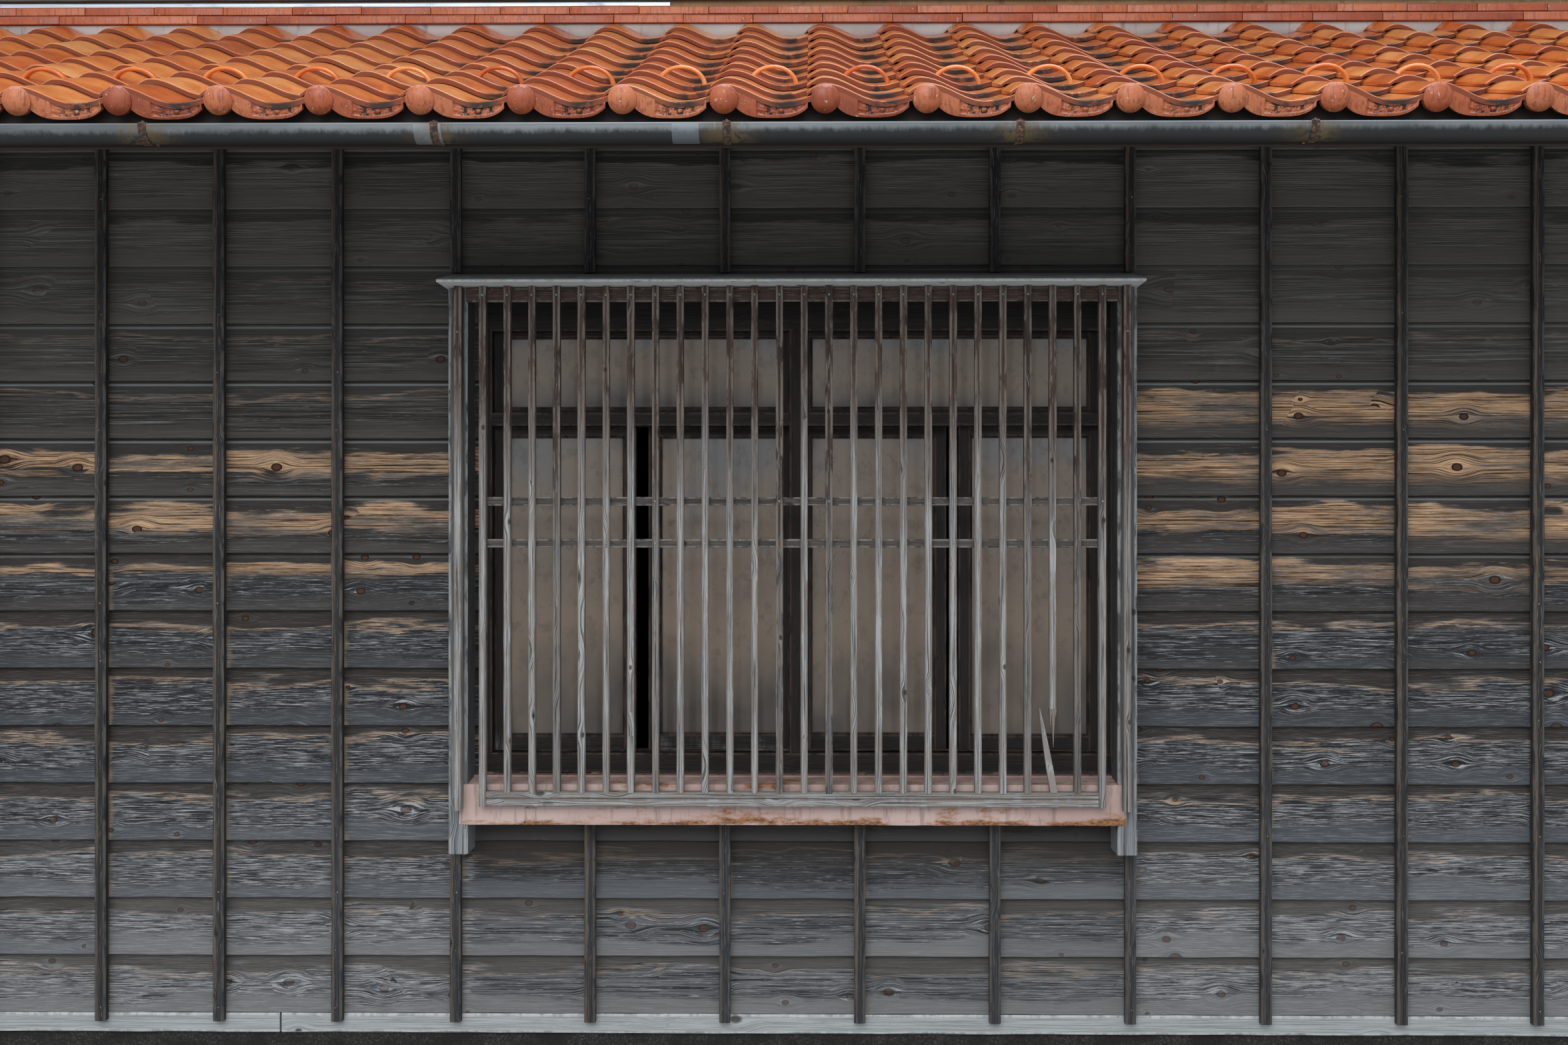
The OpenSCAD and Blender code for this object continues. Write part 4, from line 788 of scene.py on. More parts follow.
def lapped_boards(piece, x0, x1, y, out, z0, rows, rnd, gaps, cells):
    """Weatherboards in one bay: each board its own plank, tipped out at its lower edge, a little
    bowed. out is the way that the wall faces: -1 the street, 1 the rear."""
    for low, cut_low, cut_high in board_parts(z0, rows, gaps):
        own, shift, tone = rnd.uniform(0, FAR_NUMBER), rnd.uniform(0, 9), rnd.random()
        lean = rnd.uniform(0, 0.0014)
        line = board_face(low, cut_low, cut_high)
        rings = []
        for c in range(cells + 1):
            x = x0 + (x1 - x0) * c / cells
            end = 1.0 if c == 0 else 0.0
            dip = abs(0.0012 * math.sin(x * 5.1 + own) + 0.0007 * math.sin(x * 17 + 2 * own))
            bow = lean * math.sin(math.pi * c / cells) + 0.0005 * (1 + math.sin(x * 23 + own))
            ring = []
            for deep, z, v in line:
                raised = dip * (1 - v) if v < 0.9 and cut_low == low else 0
                ring.append(piece.point((x, y + out * (deep - bow * (1 - v)), z + raised),
                                        (x + shift, z - low, own), tone, end, v))
            for deep, z, v in (line[-1], line[0]):
                ring.append(piece.point((x, y + out * 0.0005, z + (0.002 if v < 0.5 else 0)),
                                        (x + shift, z - low, own), tone, end, v))
            rings.append(ring)
        piece.loft(rings)


def batten_places():
    """Middles of the battens on the street wall, from left to right."""
    places = []
    x = BATTEN_START - BAY_NARROW
    while x > -HALF + BATTEN_W / 2:
        places.insert(0, x)
        x -= BAY_NARROW
    x = BATTEN_START
    while x < HALF - BATTEN_W / 2:
        places.append(x)
        x += BAY_WIDE
    return places


def street_boards(piece, y, z0, rows, rnd, gap):
    """Boards of a street wall, bay by bay between the battens, cut round the window."""
    stops = [-HALF] + batten_places() + [HALF]
    for n in range(rows):
        low = z0 + n * BOARD_GAUGE
        beside = gap[0] < low + BOARD_GAUGE and low < gap[1]
        places = sorted(stops + [WIN_X0, WIN_X1]) if beside else stops
        for a, b in zip(places, places[1:]):
            gaps = [gap] if beside and WIN_X0 < (a + b) / 2 < WIN_X1 else []
            lapped_boards(piece, a, b, y, -1, low, 1, rnd, gaps, max(2, round((b - a) / 0.06)))


def wall_core(piece, low, high, hole, rnd):
    """Plaster behind the boards, round an opening given by its left, right, foot and head."""
    x0, x1, z0, z1 = hole
    for a, b in (((low[0], low[1], low[2]), (x0, high[1], high[2])),
                 ((x1, low[1], low[2]), high), ((x0, low[1], low[2]), (x1, high[1], z0)),
                 ((x0, low[1], z1), (x1, high[1], high[2]))):
        timber(piece, a, b, 0, rnd, 0.002, 1, 1)


def street_wall(boards, clay):
    """Ground floor street wall: clay core with the window's opening, and boards over it."""
    rnd = random.Random(11)
    piece = Piece("street_wall")
    foot = SILL_TOP + SEAT
    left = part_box("front_wall_left")[1]
    wall_core(piece, (-HALF, 0, foot), (HALF, left.y, left.z),
              (WIN_X0 - SEAT, WIN_X1 + SEAT, WIN_Z0 - SEAT, WIN_Z1 + SEAT), rnd)
    street_boards(piece, 0, foot, BOARD_ROWS, rnd, (WIN_Z0, WIN_Z1))
    dress(piece.built(boards, clay), "weatherboards", "front_wall_left", "front_wall_right",
          "front_wall_above", "front_wall_below")


def front_battens(finish, nail):
    """Battens over the boards: arrises rubbed to brown wood, a nail at each second board, feet
    hanging over the sill."""
    rnd = random.Random(12)
    piece = Piece("battens")
    foot = SILL_TOP - BATTEN_FOOT
    back = -BOARD_BUTT - SEAT
    front = back - BATTEN_D
    top = SILL_TOP + BOARD_ROWS * BOARD_GAUGE
    jambs_low, jambs_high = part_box("window_jambs")
    for x in batten_places():
        spans = [(foot, top)]
        if HOOD_X0 < x + BATTEN_W / 2 and x - BATTEN_W / 2 < HOOD_X1:
            # Those between the jamb boards reach the flashing.
            between = (jambs_low.x + JAMB_T < x - BATTEN_W / 2
                       and x + BATTEN_W / 2 < jambs_high.x - JAMB_T)
            spans = [(foot, (FLASH_TOP - FLASH_H if between else JAMB_Z0) - SEAT),
                     (HOOD_Z + HOOD_EDGE + HOOD_RISE + SEAT, top)]
        for z0, z1 in spans:
            rows = max(2, int((z1 - z0) / 0.11))
            timber(piece, (x - BATTEN_W / 2, front, z0), (x + BATTEN_W / 2, back, z1), 2,
                   rnd, 0.0034, rows, wave=0.0012)
        for n in range(BOARD_ROWS):
            z = SILL_TOP + (n + 0.14) * BOARD_GAUGE
            if rnd.random() < 0.55 and any(a + 0.02 < z < b - 0.02 for a, b in spans):
                dome(piece, (x + rnd.uniform(-0.005, 0.005), front + 0.0022, z), (0, -1, 0),
                     BATTEN_NAIL, 1, 6)
    dress(piece.built(finish, nail), "batten_timber", "front_battens")


def front_sill(finish):
    """Sill timber along the wall's foot in two lengths, the joint's ends broken away."""
    piece, rnd, low, high = started("sill_board", 13, "front_sill")
    for x0, x1 in ((low.x, SILL_JOINT - 0.003), (SILL_JOINT + 0.004, high.x)):
        timber(piece, (x0, low.y, low.z), (x1, high.y, high.z), 0, rnd, 0.004,
               int((x1 - x0) / 0.09), wave=0.0015)
    dress(piece.built(finish), "sill_timber", "front_sill")


# ---- street window ----

def window_hood(finish):
    """Sloping hood board over the lattice, its front edge worn."""
    rnd = random.Random(21)
    piece = Piece("hood")
    back, edge = -BOARD_BUTT - SEAT, HOOD_Z + HOOD_EDGE
    rings = []
    for x in spaced(HOOD_X0, HOOD_X1, 46):
        sag = rnd.uniform(0, 0.0016)
        outline = ((-HOOD_OUT + sag, HOOD_Z + 0.0015, 1, 0.0), (-HOOD_OUT + 0.002, HOOD_Z, 0.4, 0.003),
                   (back, HOOD_Z, 0, 0.23), (back, edge + HOOD_RISE, 0, 0.29),
                   (-HOOD_OUT + 0.006, edge, 0.8, 0.52), (-HOOD_OUT + sag, edge - 0.003, 1, 0.53))
        rings.append([piece.point((x, y, z), (x, girth, 7.0), 0.5, worn)
                      for y, z, worn, girth in outline])
    piece.loft(rings)
    dress(piece.built(finish), "hood_timber", "window_hood")


def window_jambs(finish):
    """Boards that stand out from the wall on either side of the lattice."""
    piece, rnd, low, high = started("jamb_boards", 22, "window_jambs")
    for x0, x1 in ((low.x, low.x + JAMB_T), (high.x - JAMB_T, high.x)):
        timber(piece, (x0, low.y, low.z), (x1, high.y, high.z), 2, rnd, 0.004, 16, wave=WAVER)
    dress(piece.built(finish), "hood_timber", "window_jambs")


def window_flashing(finish, nail):
    """Painted sheet over the sill: a sloping top with a row of nails, and a hanging front that
    laps over the jamb boards."""
    piece, rnd, low, high = started("flashing", 23, "window_flashing")
    sheet = 0.0018
    front, back = low.y + 0.0005, high.y
    for x0, x1, line in (
            (low.x, high.x, ((0.001, low.z), (0.0004, low.z + 0.06), (0.0, FLASH_TOP - 0.004),
                             (0.0012, FLASH_TOP))),
            (low.x + FLASH_SIDE, high.x - FLASH_SIDE, (
                (0.0028, FLASH_TOP - 0.0005), (0.050, FLASH_TOP + 0.0055),
                (back - front - 0.028, high.z - 0.0052), (back - front - 0.026, high.z - 0.0012),
                (back - front, high.z)))):
        rings = []
        for x in spaced(x0, x1, 60):
            buckle = 0.0011 * abs(math.sin(x * 9)) + rnd.uniform(0, 0.0005)
            face = [(front + y + buckle, z + (rnd.uniform(0, 0.0012) if z == low.z else 0))
                    for y, z in line[:-1]] + [(front + line[-1][0], line[-1][1])]
            inner = [(y + sheet, z - (sheet if line[0][1] > low.z else 0)) for y, z in reversed(face)]
            rings.append([piece.point((x, min(y, back), z)) for y, z in face + inner])
        piece.loft(rings)
    count = 17
    for n in range(count):
        x = low.x + 0.09 + n * (high.x - low.x - 0.18) / (count - 1) + rnd.uniform(-0.006, 0.006)
        dome(piece, (x, back - 0.012, high.z - 0.0010), (0, -0.15, 1), SHEET_NAIL, 1)
    dress(piece.built(finish, nail, sharp=28), "flashing_paint", "window_flashing")


def dome(piece, at, facing, size, finish=0, sides=8):
    """A nail's domed head on a face, its size being radius and height."""
    radius, height = size
    out = Vector(facing).normalized()
    turn = out.to_track_quat("Z", "Y").to_matrix()
    rings = []
    for r, h in ((1.0, -0.3), (0.96, 0.45), (0.6, 0.88), (0.16, 1.0)):
        rings.append([piece.point(Vector(at) + turn @ Vector((
            radius * r * math.cos(a), radius * r * math.sin(a), height * h)))
            for a in round_turn(sides)])
    piece.loft(rings, finish)


def lattice(finish, nail, dark):
    """Lattice of upright bars nailed to rails, between end stiles on the jamb boards: one bar is
    snapped, its splinter leaning by it."""
    piece, rnd, low, high = started("lattice_bars", 24, "window_jambs")
    front, top = -LATTICE_OUT, HOOD_Z - SEAT
    back = front + BAR_D
    last = LATTICE_BARS - 1
    for n in range(LATTICE_BARS):
        x = LATTICE_X0 + n * LATTICE_PITCH
        foot = LATTICE_Z0 if n in (0, last) else LATTICE_Z0 + RAIL_H - 0.004
        half = BAR_W / 2 - rnd.uniform(0, 0.0012)
        if n == BROKEN_BAR:
            snapped_bar(piece, x, half, front, back, top, rnd)
            continue
        timber(piece, (x - half, front + rnd.uniform(0, 0.002), foot), (x + half, back, top), 2, rnd,
               BAR_ARRIS, 20, wave=BAR_WAVER)
        for z in (TIE_ZS[0] + TIE_H / 2, TIE_ZS[1] + TIE_H / 2, top - 0.030):
            if z > 2.5 or rnd.random() < 0.3:
                dome(piece, (x, front + 0.0012, z), (0, -1, 0), BAR_NAIL, 1, 6)
    for x in (LATTICE_X0 - LATTICE_PITCH, LATTICE_X0 + (last + 1) * LATTICE_PITCH):
        timber(piece, (x - BAR_W / 2, front, LATTICE_Z0 - STILE_DROP),
               (x + BAR_W / 2, low.y - 0.0046, top), 2, rnd, ARRIS, 20, wave=WAVER)
        dome(piece, (x, front + 0.0016, top - 0.150), (0, -1, 0), STILE_NAIL, 1, 6)
    lattice_rails(piece, low, high, front, top, rnd)
    dress(piece.built(finish, nail, dark), "lattice_timber", "lattice")


def lattice_rails(piece, low, high, front, top, rnd):
    """The two-part foot rail, the head rail between the jamb boards, and the thin ties."""
    back = front + BAR_D
    x0, x1 = LATTICE_X0 + BAR_W / 2, LATTICE_X0 + (LATTICE_BARS - 1) * LATTICE_PITCH - BAR_W / 2
    half_rail = LATTICE_Z0 + RAIL_H * 0.55
    rail_back, tie_front = back + TIE_D / 2, back - 0.006
    members = [(x0, front + 0.003, half_rail, x1, LATTICE_Z0 + RAIL_H, ARRIS, 24),
               (x0, front + 0.0055, LATTICE_Z0, x1, half_rail, ARRIS, 24),
               (low.x + JAMB_T + SEAT, tie_front, top - RAIL_H, high.x - JAMB_T - SEAT, top - 0.004,
                0.002, 8)]
    members += [(x0, tie_front, z, x1, z + TIE_H, 0.002, 8) for z in TIE_ZS]
    for a, y, z, b, head, arris, rows in members:
        timber(piece, (a, y, z), (b, rail_back, head), 0, rnd, arris, rows, 2 if z in TIE_ZS else 0,
               WAVER)


def snapped_bar(piece, x, half, front, back, top, rnd):
    """The broken bar: torn to a long point, with a bared strand, and the loose splinter."""
    wide = 2 * half
    timber(piece, (x - half, front, BROKEN_Z + 0.02), (x + half, back, top), 2, rnd, BAR_ARRIS, 14,
           wave=BAR_WAVER)
    # Torn ends taper over a hand's breadth: (left share, right share, drop below the break, depth).
    for left, right, drop, deep in ((0.0, 0.42, 0.055, 0.9), (0.36, 0.78, 0.125, 0.55),
                                    (0.72, 1.0, 0.030, 0.8)):
        rings = []
        for n in range(5):
            t = n / 4
            mid = x - half + wide * (left + right) / 2
            w = wide * (right - left) / 2 * (1 - 0.88 * t)
            z = BROKEN_Z + 0.021 - drop * t
            y0, y1 = front + 0.001 + 0.004 * t, front + (back - front) * deep * (1 - 0.6 * t)
            ring = [(mid - w, y0, z), (mid + w, y0, z), (mid + w, y1, z), (mid - w, y1, z)]
            rings.append([piece.point(p, (p[2], p[0] * 3, 31.0), 0.9, 1.0) for p in ring])
        piece.loft(rings)
    foot = LATTICE_Z0 + RAIL_H - 0.001
    head, lean = BROKEN_Z + 0.021, -0.046
    rings = []
    for n in range(9):
        t = n / 8
        w = half * (0.95 - 0.82 * t ** 2.2)
        mid = x + 0.004 + lean * t
        z = foot + (head - foot) * t
        y0, y1 = front + 0.002 + 0.004 * t, back - 0.002 - 0.012 * t
        ring = [(mid - w, y0, z), (mid + w, y0 + 0.001, z), (mid + w, y1, z), (mid - w, y1, z)]
        rings.append([piece.point(p, (z * 1.1, k * 0.02, 55.0), 0.3, 0.7) for k, p in enumerate(ring)])
    piece.loft(rings)


def window_bays():
    """Left and right of the window's openings on either side of the mullion."""
    return ((WIN_X0 + FRAME_T, MULLION_X - MULLION_W / 2), (MULLION_X + MULLION_W / 2,
                                                            WIN_X1 - FRAME_T))


def window_frame(finish):
    """Frame of the street window: sill, head, posts, mullion and transom, housed in each other."""
    piece, rnd, low, high = started("window_frame_timber", 25, "window_frame")
    y0, y1 = low.y + 0.0004, high.y
    sill = WIN_Z0 + FRAME_SILL
    (g0, mid0), (mid1, g1) = window_bays()
    members = [((WIN_X0, y0, WIN_Z0), (WIN_X1, y1, sill), 0),
               ((WIN_X0, y0, FRAME_HEAD), (WIN_X1, y1, WIN_Z1), 0),
               ((WIN_X0, y0, sill), (g0, y1, FRAME_HEAD), 2),
               ((g1, y0, sill), (WIN_X1, y1, FRAME_HEAD), 2),
               ((mid0, y0, sill), (mid1, y1, FRAME_HEAD), 2)]
    for a, b in window_bays():
        members.append(((a, y0, TRANSOM_Z), (b, y1, TRANSOM_Z + TRANSOM_H), 0))
        # Ribs on either side of each track.
        members += [((a, y - 0.008, sill), (b, y - 0.002, sill + 0.005), 0) for y in TRACKS]
    for a, b, along in members:
        timber(piece, a, b, along, rnd, 0.0015, 10)
    dress(piece.built(finish), "joinery", "window_frame")


def window_leaves():
    """Each sash or light: left, right, y, foot, head, left stile, right stile, foot rail and head
    rail."""
    z0, z1 = WIN_Z0 + FRAME_SILL, TRANSOM_Z
    rows = []
    for n, (a, b) in enumerate(window_bays()):
        left, right = (SIDE_STILE, SASH_STILE) if n == 0 else (SASH_STILE, SIDE_STILE)
        half = (b - a - MEETING_GAP) / 2
        rows += [(a, a + half, TRACKS[n], z0, z1, left, MEETING_STILE, SASH_FOOT, SASH_HEAD),
                 (b - half, b, TRACKS[1 - n], z0, z1, MEETING_STILE, right, SASH_FOOT, SASH_HEAD),
                 (a, b, TRACKS[0], TRANSOM_Z + TRANSOM_H, FRAME_HEAD, left, right, LIGHT_RAIL,
                  LIGHT_RAIL)]
    return rows


def window_sashes(finish):
    """Lower sashes in two tracks and lights over the transom: stiles, rails and a thin bead."""
    rnd = random.Random(26)
    piece = Piece("sashes")
    for x0, x1, y, z0, z1, left, right, foot, head in window_leaves():
        a, b, c, d = x0 + left, x1 - right, z0 + foot, z1 - head
        for low, high, along in (
                ((x0 + SEAT, y, z0 + SEAT), (a, y + SASH_T, z1 - SEAT), 2),
                ((b, y, z0 + SEAT), (x1 - SEAT, y + SASH_T, z1 - SEAT), 2),
                ((a, y + 0.001, z0 + SEAT), (b, y + SASH_T, c), 0),
                ((a, y + 0.001, d), (b, y + SASH_T, z1 - SEAT), 0),
                ((a, y + 0.004, c), (a + SASH_BEAD, y + 0.0105, d), 2),
                ((b - SASH_BEAD, y + 0.004, c), (b, y + 0.0105, d), 2),
                ((a, y + 0.004, c), (b, y + 0.0105, c + SASH_BEAD), 0),
                ((a, y + 0.004, d - SASH_BEAD), (b, y + 0.0105, d), 0)):
            timber(piece, low, high, along, rnd, 0.0012, 5)
    dress(piece.built(finish), "joinery", "window_sashes")


def pane(piece, x0, x1, y, z0, z1, tone=0.5):
    """A sheet of glass with ground edges; it tells the finish its height, for painted reflections, and its
    nearness to the frame's edges and corners, for painted shade.
    """
    bevel = 0.0006
    rings = []
    for v in (0, 0.04, 0.12, 0.3, 0.5, 0.7, 0.88, 0.96, 1):
        z = z0 + (z1 - z0) * v
        line = [(x0, y + bevel, 1.0)]
        for u in (0, 0.04, 0.14, 0.5, 0.86, 0.96, 1):
            near = max(0.0, 1 - min(u, 1 - u) / 0.14), max(0.0, 1 - min(v, 1 - v) / 0.12)
            shade = max(near[0] * near[1], 0.35 * max(near))
            line.append((x0 + bevel + (x1 - x0 - 2 * bevel) * u, y, shade))
        line += [(x1, y + bevel, 1.0), (x1, y + GLASS_T, 0.5), (x0, y + GLASS_T, 0.5)]
        rings.append([piece.point((x, py, z), tone=tone, worn=shade, across=v)
                      for x, py, shade in line])
    piece.loft(rings)


def window_glass(finish):
    """Panes of the street window."""
    piece = Piece("glass_panes")
    rnd = random.Random(27)
    mid = (SASH_T - GLASS_T) / 2
    for x0, x1, y, z0, z1, left, right, foot, head in window_leaves():
        pane(piece, x0 + left + SEAT, x1 - right - SEAT, y + mid, z0 + foot + SEAT,
             z1 - head - SEAT, rnd.random())
    dress(piece.built(finish), "obscured_glass", "window_glass")


# ---- tiles ----

def tile_height(u):
    """Height of a pantile's wave over the foot of its pan, u across from the top of its roll."""
    if u < 0:
        return ROLL * (0.5 + 0.5 * math.cos(math.pi * u / (2.03 * ROLL_LEFT)))
    if u < PAN_RIGHT:
        return ROLL * (0.5 + 0.5 * math.cos(math.pi * u / PAN_RIGHT))
    return PAN_LIP * ((u - PAN_RIGHT) / (PITCH - ROLL_LEFT - PAN_RIGHT)) ** 2


def tile_mesh(name, length, steps):
    """One pantile, its front edge at the origin and its length running up the slope. on_tile tells
    the finish the place across, the place up, and which points belong to the front edge."""
    mesh = bpy.data.meshes.new(name)
    points, marks, faces = [], [], []
    free = 0.0055                      # how far the roll's free edge stands off its neighbour
    line = [(u, tile_height(u)) for u in steps]
    rows = [(0.0, -0.0030, 1.0), (0.0030, 0.0, 0.45), (0.011, 0.0, 0.0), (length, 0.0, 0.0)]
    for s, sunk, edge in rows:
        for u, h in line:
            points.append((u, s, h + TILE_T + sunk))
            marks.append((u, s, edge))
    for s, edge in ((length, 0.0), (0.0005, 1.0)):
        for n, (u, h) in enumerate(line):
            points.append((u, s, h + (free if n < 2 else 0)))
            marks.append((u, s, edge))
    n = len(line)
    belt = len(rows) + 2
    for r in range(belt):
        a, b = r * n, (r + 1) % belt * n
        for c in range(n - 1):
            faces.append((a + c, a + c + 1, b + c + 1, b + c))
    faces.append([r * n for r in range(belt)][::-1])
    faces.append([r * n + n - 1 for r in range(belt)])
    mesh.from_pydata(points, [], faces)
    layer = mesh.attributes.new("on_tile", "FLOAT_VECTOR", "POINT")
    layer.data.foreach_set("vector", [v for m in marks for v in m])
    finish_mesh(mesh, 40)
    return mesh


FINE_STEPS = [ROLL_LEFT * s for s in (-1, -0.72, -0.42, -0.2, 0)] + [
    PAN_RIGHT * s for s in (0.13, 0.26, 0.4, 0.54, 0.68, 0.84, 1.0)] + [
    PAN_RIGHT + (PITCH - ROLL_LEFT - PAN_RIGHT) * s for s in (0.5, 1.0)] + [PITCH - ROLL_LEFT + 0.011]
PLAIN_STEPS = [ROLL_LEFT * s for s in (-1, -0.5, 0)] + [
    PAN_RIGHT * s for s in (0.3, 0.5, 0.75, 1.0)] + [PITCH - ROLL_LEFT + 0.011]


def laying_tree():
    """Lays copies of a piece in courses: across by the pitch, up by the run, each course on the
    roof's own slope and tipped so that its front edge lies on the course below."""
    tree = bpy.data.node_groups.new(LAYING, "GeometryNodeTree")
    put = partial(add, tree)
    sockets = (("Piece", "Object"), ("Across", "Int"), ("Courses", "Int"), ("First course", "Int"),
               ("Pitch", "Float"), ("Run", "Float"), ("Start", "Vector"), ("Slope", "Float"),
               ("Slope gain", "Float"), ("Tilt", "Float"), ("Lift", "Float"), ("Unevenness", "Float"),
               ("Seed", "Int"), ("Finish", "Material"))
    for name, kind in sockets:
        tree.interface.new_socket(name, in_out="INPUT", socket_type="NodeSocket" + kind)
    tree.interface.new_socket("Laid", in_out="OUTPUT", socket_type="NodeSocketGeometry")
    given = tree.nodes.new("NodeGroupInput").outputs[:len(sockets)]
    (piece, across, courses, first_course, pitch, run, start, slope, slope_gain, tilt, lift,
     unevenness, seed, finish) = given
    index = put("GeometryNodeInputIndex")
    column = put("Math", index, across, operation="MODULO")
    course = put("Math", put("plus", index, 0.5), across, operation="DIVIDE")
    row = put("plus", put("Math", course, operation="FLOOR"), first_course)
    # The roof steepens by the same gain from course to course.
    gained = put("times", slope_gain, row)
    half_gain = put("times", gained, put("times", put("less", row, 1.0), 0.5))
    rise = put("times", run, put("plus", put("times", slope, row), half_gain))
    angle = put("Math", put("plus", slope, gained), operation="ARCTANGENT")
    # Chance values of each tile, the lowest being -1 or 0.
    slip, raised, twist, roll, tone = (
        put("FunctionNodeRandomValue", low, 1.0, None, put("plus", seed, number), data_type="FLOAT")
        for number, low in ((1, -1.0), (2, 0.0), (3, -1.0), (4, -1.0), (5, 0.0)))
    slip = put("times", unevenness, slip)
    lift = put("plus", lift, put("times", unevenness, raised))
    back = put("times", put("Math", angle, operation="SINE"), lift)
    up = put("times", put("Math", angle, operation="COSINE"), lift)
    from_start = put("CombineXYZ", put("plus", put("times", column, pitch), put("times", slip, 0.5)),
                     put("less", put("less", put("times", run, row), slip), back),
                     put("plus", rise, up))
    turn = put("CombineXYZ", put("less", angle, tilt),
               put("times", put("times", roll, unevenness), ROLL_PLAY),
               put("times", put("times", twist, unevenness), TWIST_PLAY))
    points = put("GeometryNodePoints", put("times", across, courses),
                 put("VectorMath", start, from_start, operation="ADD"))
    toned = put("GeometryNodeStoreNamedAttribute", points, None, "tone", tone, data_type="FLOAT",
                domain="POINT")
    copied = put("GeometryNodeObjectInfo", piece).outputs["Geometry"]
    placed = put("GeometryNodeInstanceOnPoints", toned, None, copied, None, None, turn)
    solid = put("GeometryNodeRealizeInstances", placed)
    put("NodeGroupOutput", put("GeometryNodeSetMaterial", solid, None, finish))


def laid(name, mesh, finish, layout, **more):
    """The mesh laid in courses, as one plain mesh object. A layout holds the laying tree's values,
    with underscores for the spaces in their names; more are those that differ."""
    tree = bpy.data.node_groups[LAYING]
    model = bpy.data.objects.new(name + "_one", mesh)
    host = bpy.data.objects.new(name, bpy.data.meshes.new(name))
    SCENE.collection.objects.link(model)
    SCENE.collection.objects.link(host)
    values = {"Piece": model, "Finish": finish}
    values.update({key.replace("_", " ").capitalize(): v for key, v in {**layout, **more}.items()})
    layer = host.modifiers.new("laying", "NODES")
    layer.node_group = tree
    for item in tree.interface.items_tree:
        if item.item_type == "SOCKET" and item.in_out == "INPUT" and item.name in values:
            layer[item.identifier] = values[item.name]
    seen = host.evaluated_get(bpy.context.evaluated_depsgraph_get())
    host.data = bpy.data.meshes.new_from_object(seen)
    host.modifiers.clear()
    bpy.data.objects.remove(model)
    return host


# What every course of the pent roof shares, of the main roof's street side, and of the flat tiles.
PENT = dict(across=ACROSS, courses=1, first_course=0, pitch=PITCH, run=RUN,
            start=(-HALF + ROLL_LEFT, EAVE_Y, EAVE_Z), slope=SLOPE, slope_gain=SLOPE_GAIN,
            tilt=TILE_TILT, lift=TILE_LIFT, unevenness=0.0015, seed=3)
MAIN_ANGLE = math.atan(MAIN_SLOPE)
MAIN = dict(across=ACROSS, courses=MAIN_COURSES - 1, first_course=1, pitch=PITCH,
            run=COURSE_LEN * math.cos(MAIN_ANGLE), start=(-HALF + ROLL_LEFT, MAIN_EAVE_Y, MAIN_EAVE_Z),
            slope=MAIN_SLOPE, slope_gain=0.0, tilt=MAIN_TILT, lift=MAIN_BASE + 0.0045,
            unevenness=0.0012)
FLAT = dict(across=ACROSS + 2, courses=1, first_course=0, pitch=PITCH, run=0.0, slope=0.0,
            slope_gain=0.0, tilt=0.0, lift=0.0, unevenness=0.0011)


def clip_ends(piece, *more):
    """Cuts what stands past the party walls' faces, as the last tile of a course is cut, and past
    any more planes, given by a point and the way that is cut off."""
    cut = bmesh.new()
    cut.from_mesh(piece.data)
    for at, way in (((-HALF, 0, 0), (-1, 0, 0)), ((HALF, 0, 0), (1, 0, 0))) + more:
        geometry = cut.verts[:] + cut.edges[:] + cut.faces[:]
        found = bmesh.ops.bisect_plane(cut, geom=geometry, plane_co=at, plane_no=way, clear_outer=True)
        edges = [e for e in found["geom_cut"] if isinstance(e, bmesh.types.BMEdge)]
        bmesh.ops.holes_fill(cut, edges=edges)
    cut.to_mesh(piece.data)
    cut.free()
    return piece


def pent_tiles(glaze):
    """Courses of pantiles over the eave course."""
    steep = math.atan(SLOPE + SLOPE_GAIN * (COURSES - 1))
    last = (WALL_Y - SEAT - (EAVE_Y + RUN * (COURSES - 1))) / math.cos(steep) - 0.025
    body = laid("pantiles", tile_mesh("pantile", COURSE_LEN + TILE_LAP, FINE_STEPS), glaze, PENT,
                courses=COURSES - 2, first_course=1)
    top = laid("pantiles_top", tile_mesh("pantile_short", last, FINE_STEPS), glaze, PENT,
               first_course=COURSES - 1, seed=8)
    dress(clip_ends(merged([body, top])), "glazed_tile", "pent_tiles")


def merged(pieces):
    """Several mesh objects made one."""
    with bpy.context.temp_override(active_object=pieces[0], selected_editable_objects=pieces,
                                   selected_objects=pieces):
        bpy.ops.object.join()
    return pieces[0]


def loose_mesh(model):
    """The mesh of a model that is laid. Its tone is given tile by tile when it is laid."""
    mesh = model.data
    mesh.attributes.remove(mesh.attributes["tone"])
    bpy.data.objects.remove(model)
    return mesh


def ball_mesh(sides=28):
    """Bun-shaped end of an eave tile's roll: a drum behind, a low dome in front, its rim eased."""
    piece = Piece("bun")
    r = BALL_D / 2
    drum = 0.004
    curve = [(0.90, PENDANT_T), (1.0, PENDANT_T - 0.002), (1.0, -0.001)]
    dome_r = (r * r + BALL_OUT * BALL_OUT) / (2 * BALL_OUT)
    reach = math.asin(r * 0.985 / dome_r)
    for n in range(7):
        a = reach * (1 - n / 6.3)
        curve.append((dome_r * math.sin(a) / r, -(drum + BALL_OUT - dome_r + dome_r * math.cos(a))))
    middle = ROLL + TILE_T - r
    rings = [[piece.point((r * k * math.cos(t), y, middle + r * k * math.sin(t)), worn=0.0)
              for t in round_turn(sides)] for k, y in curve]
    piece.loft(rings)
    return piece


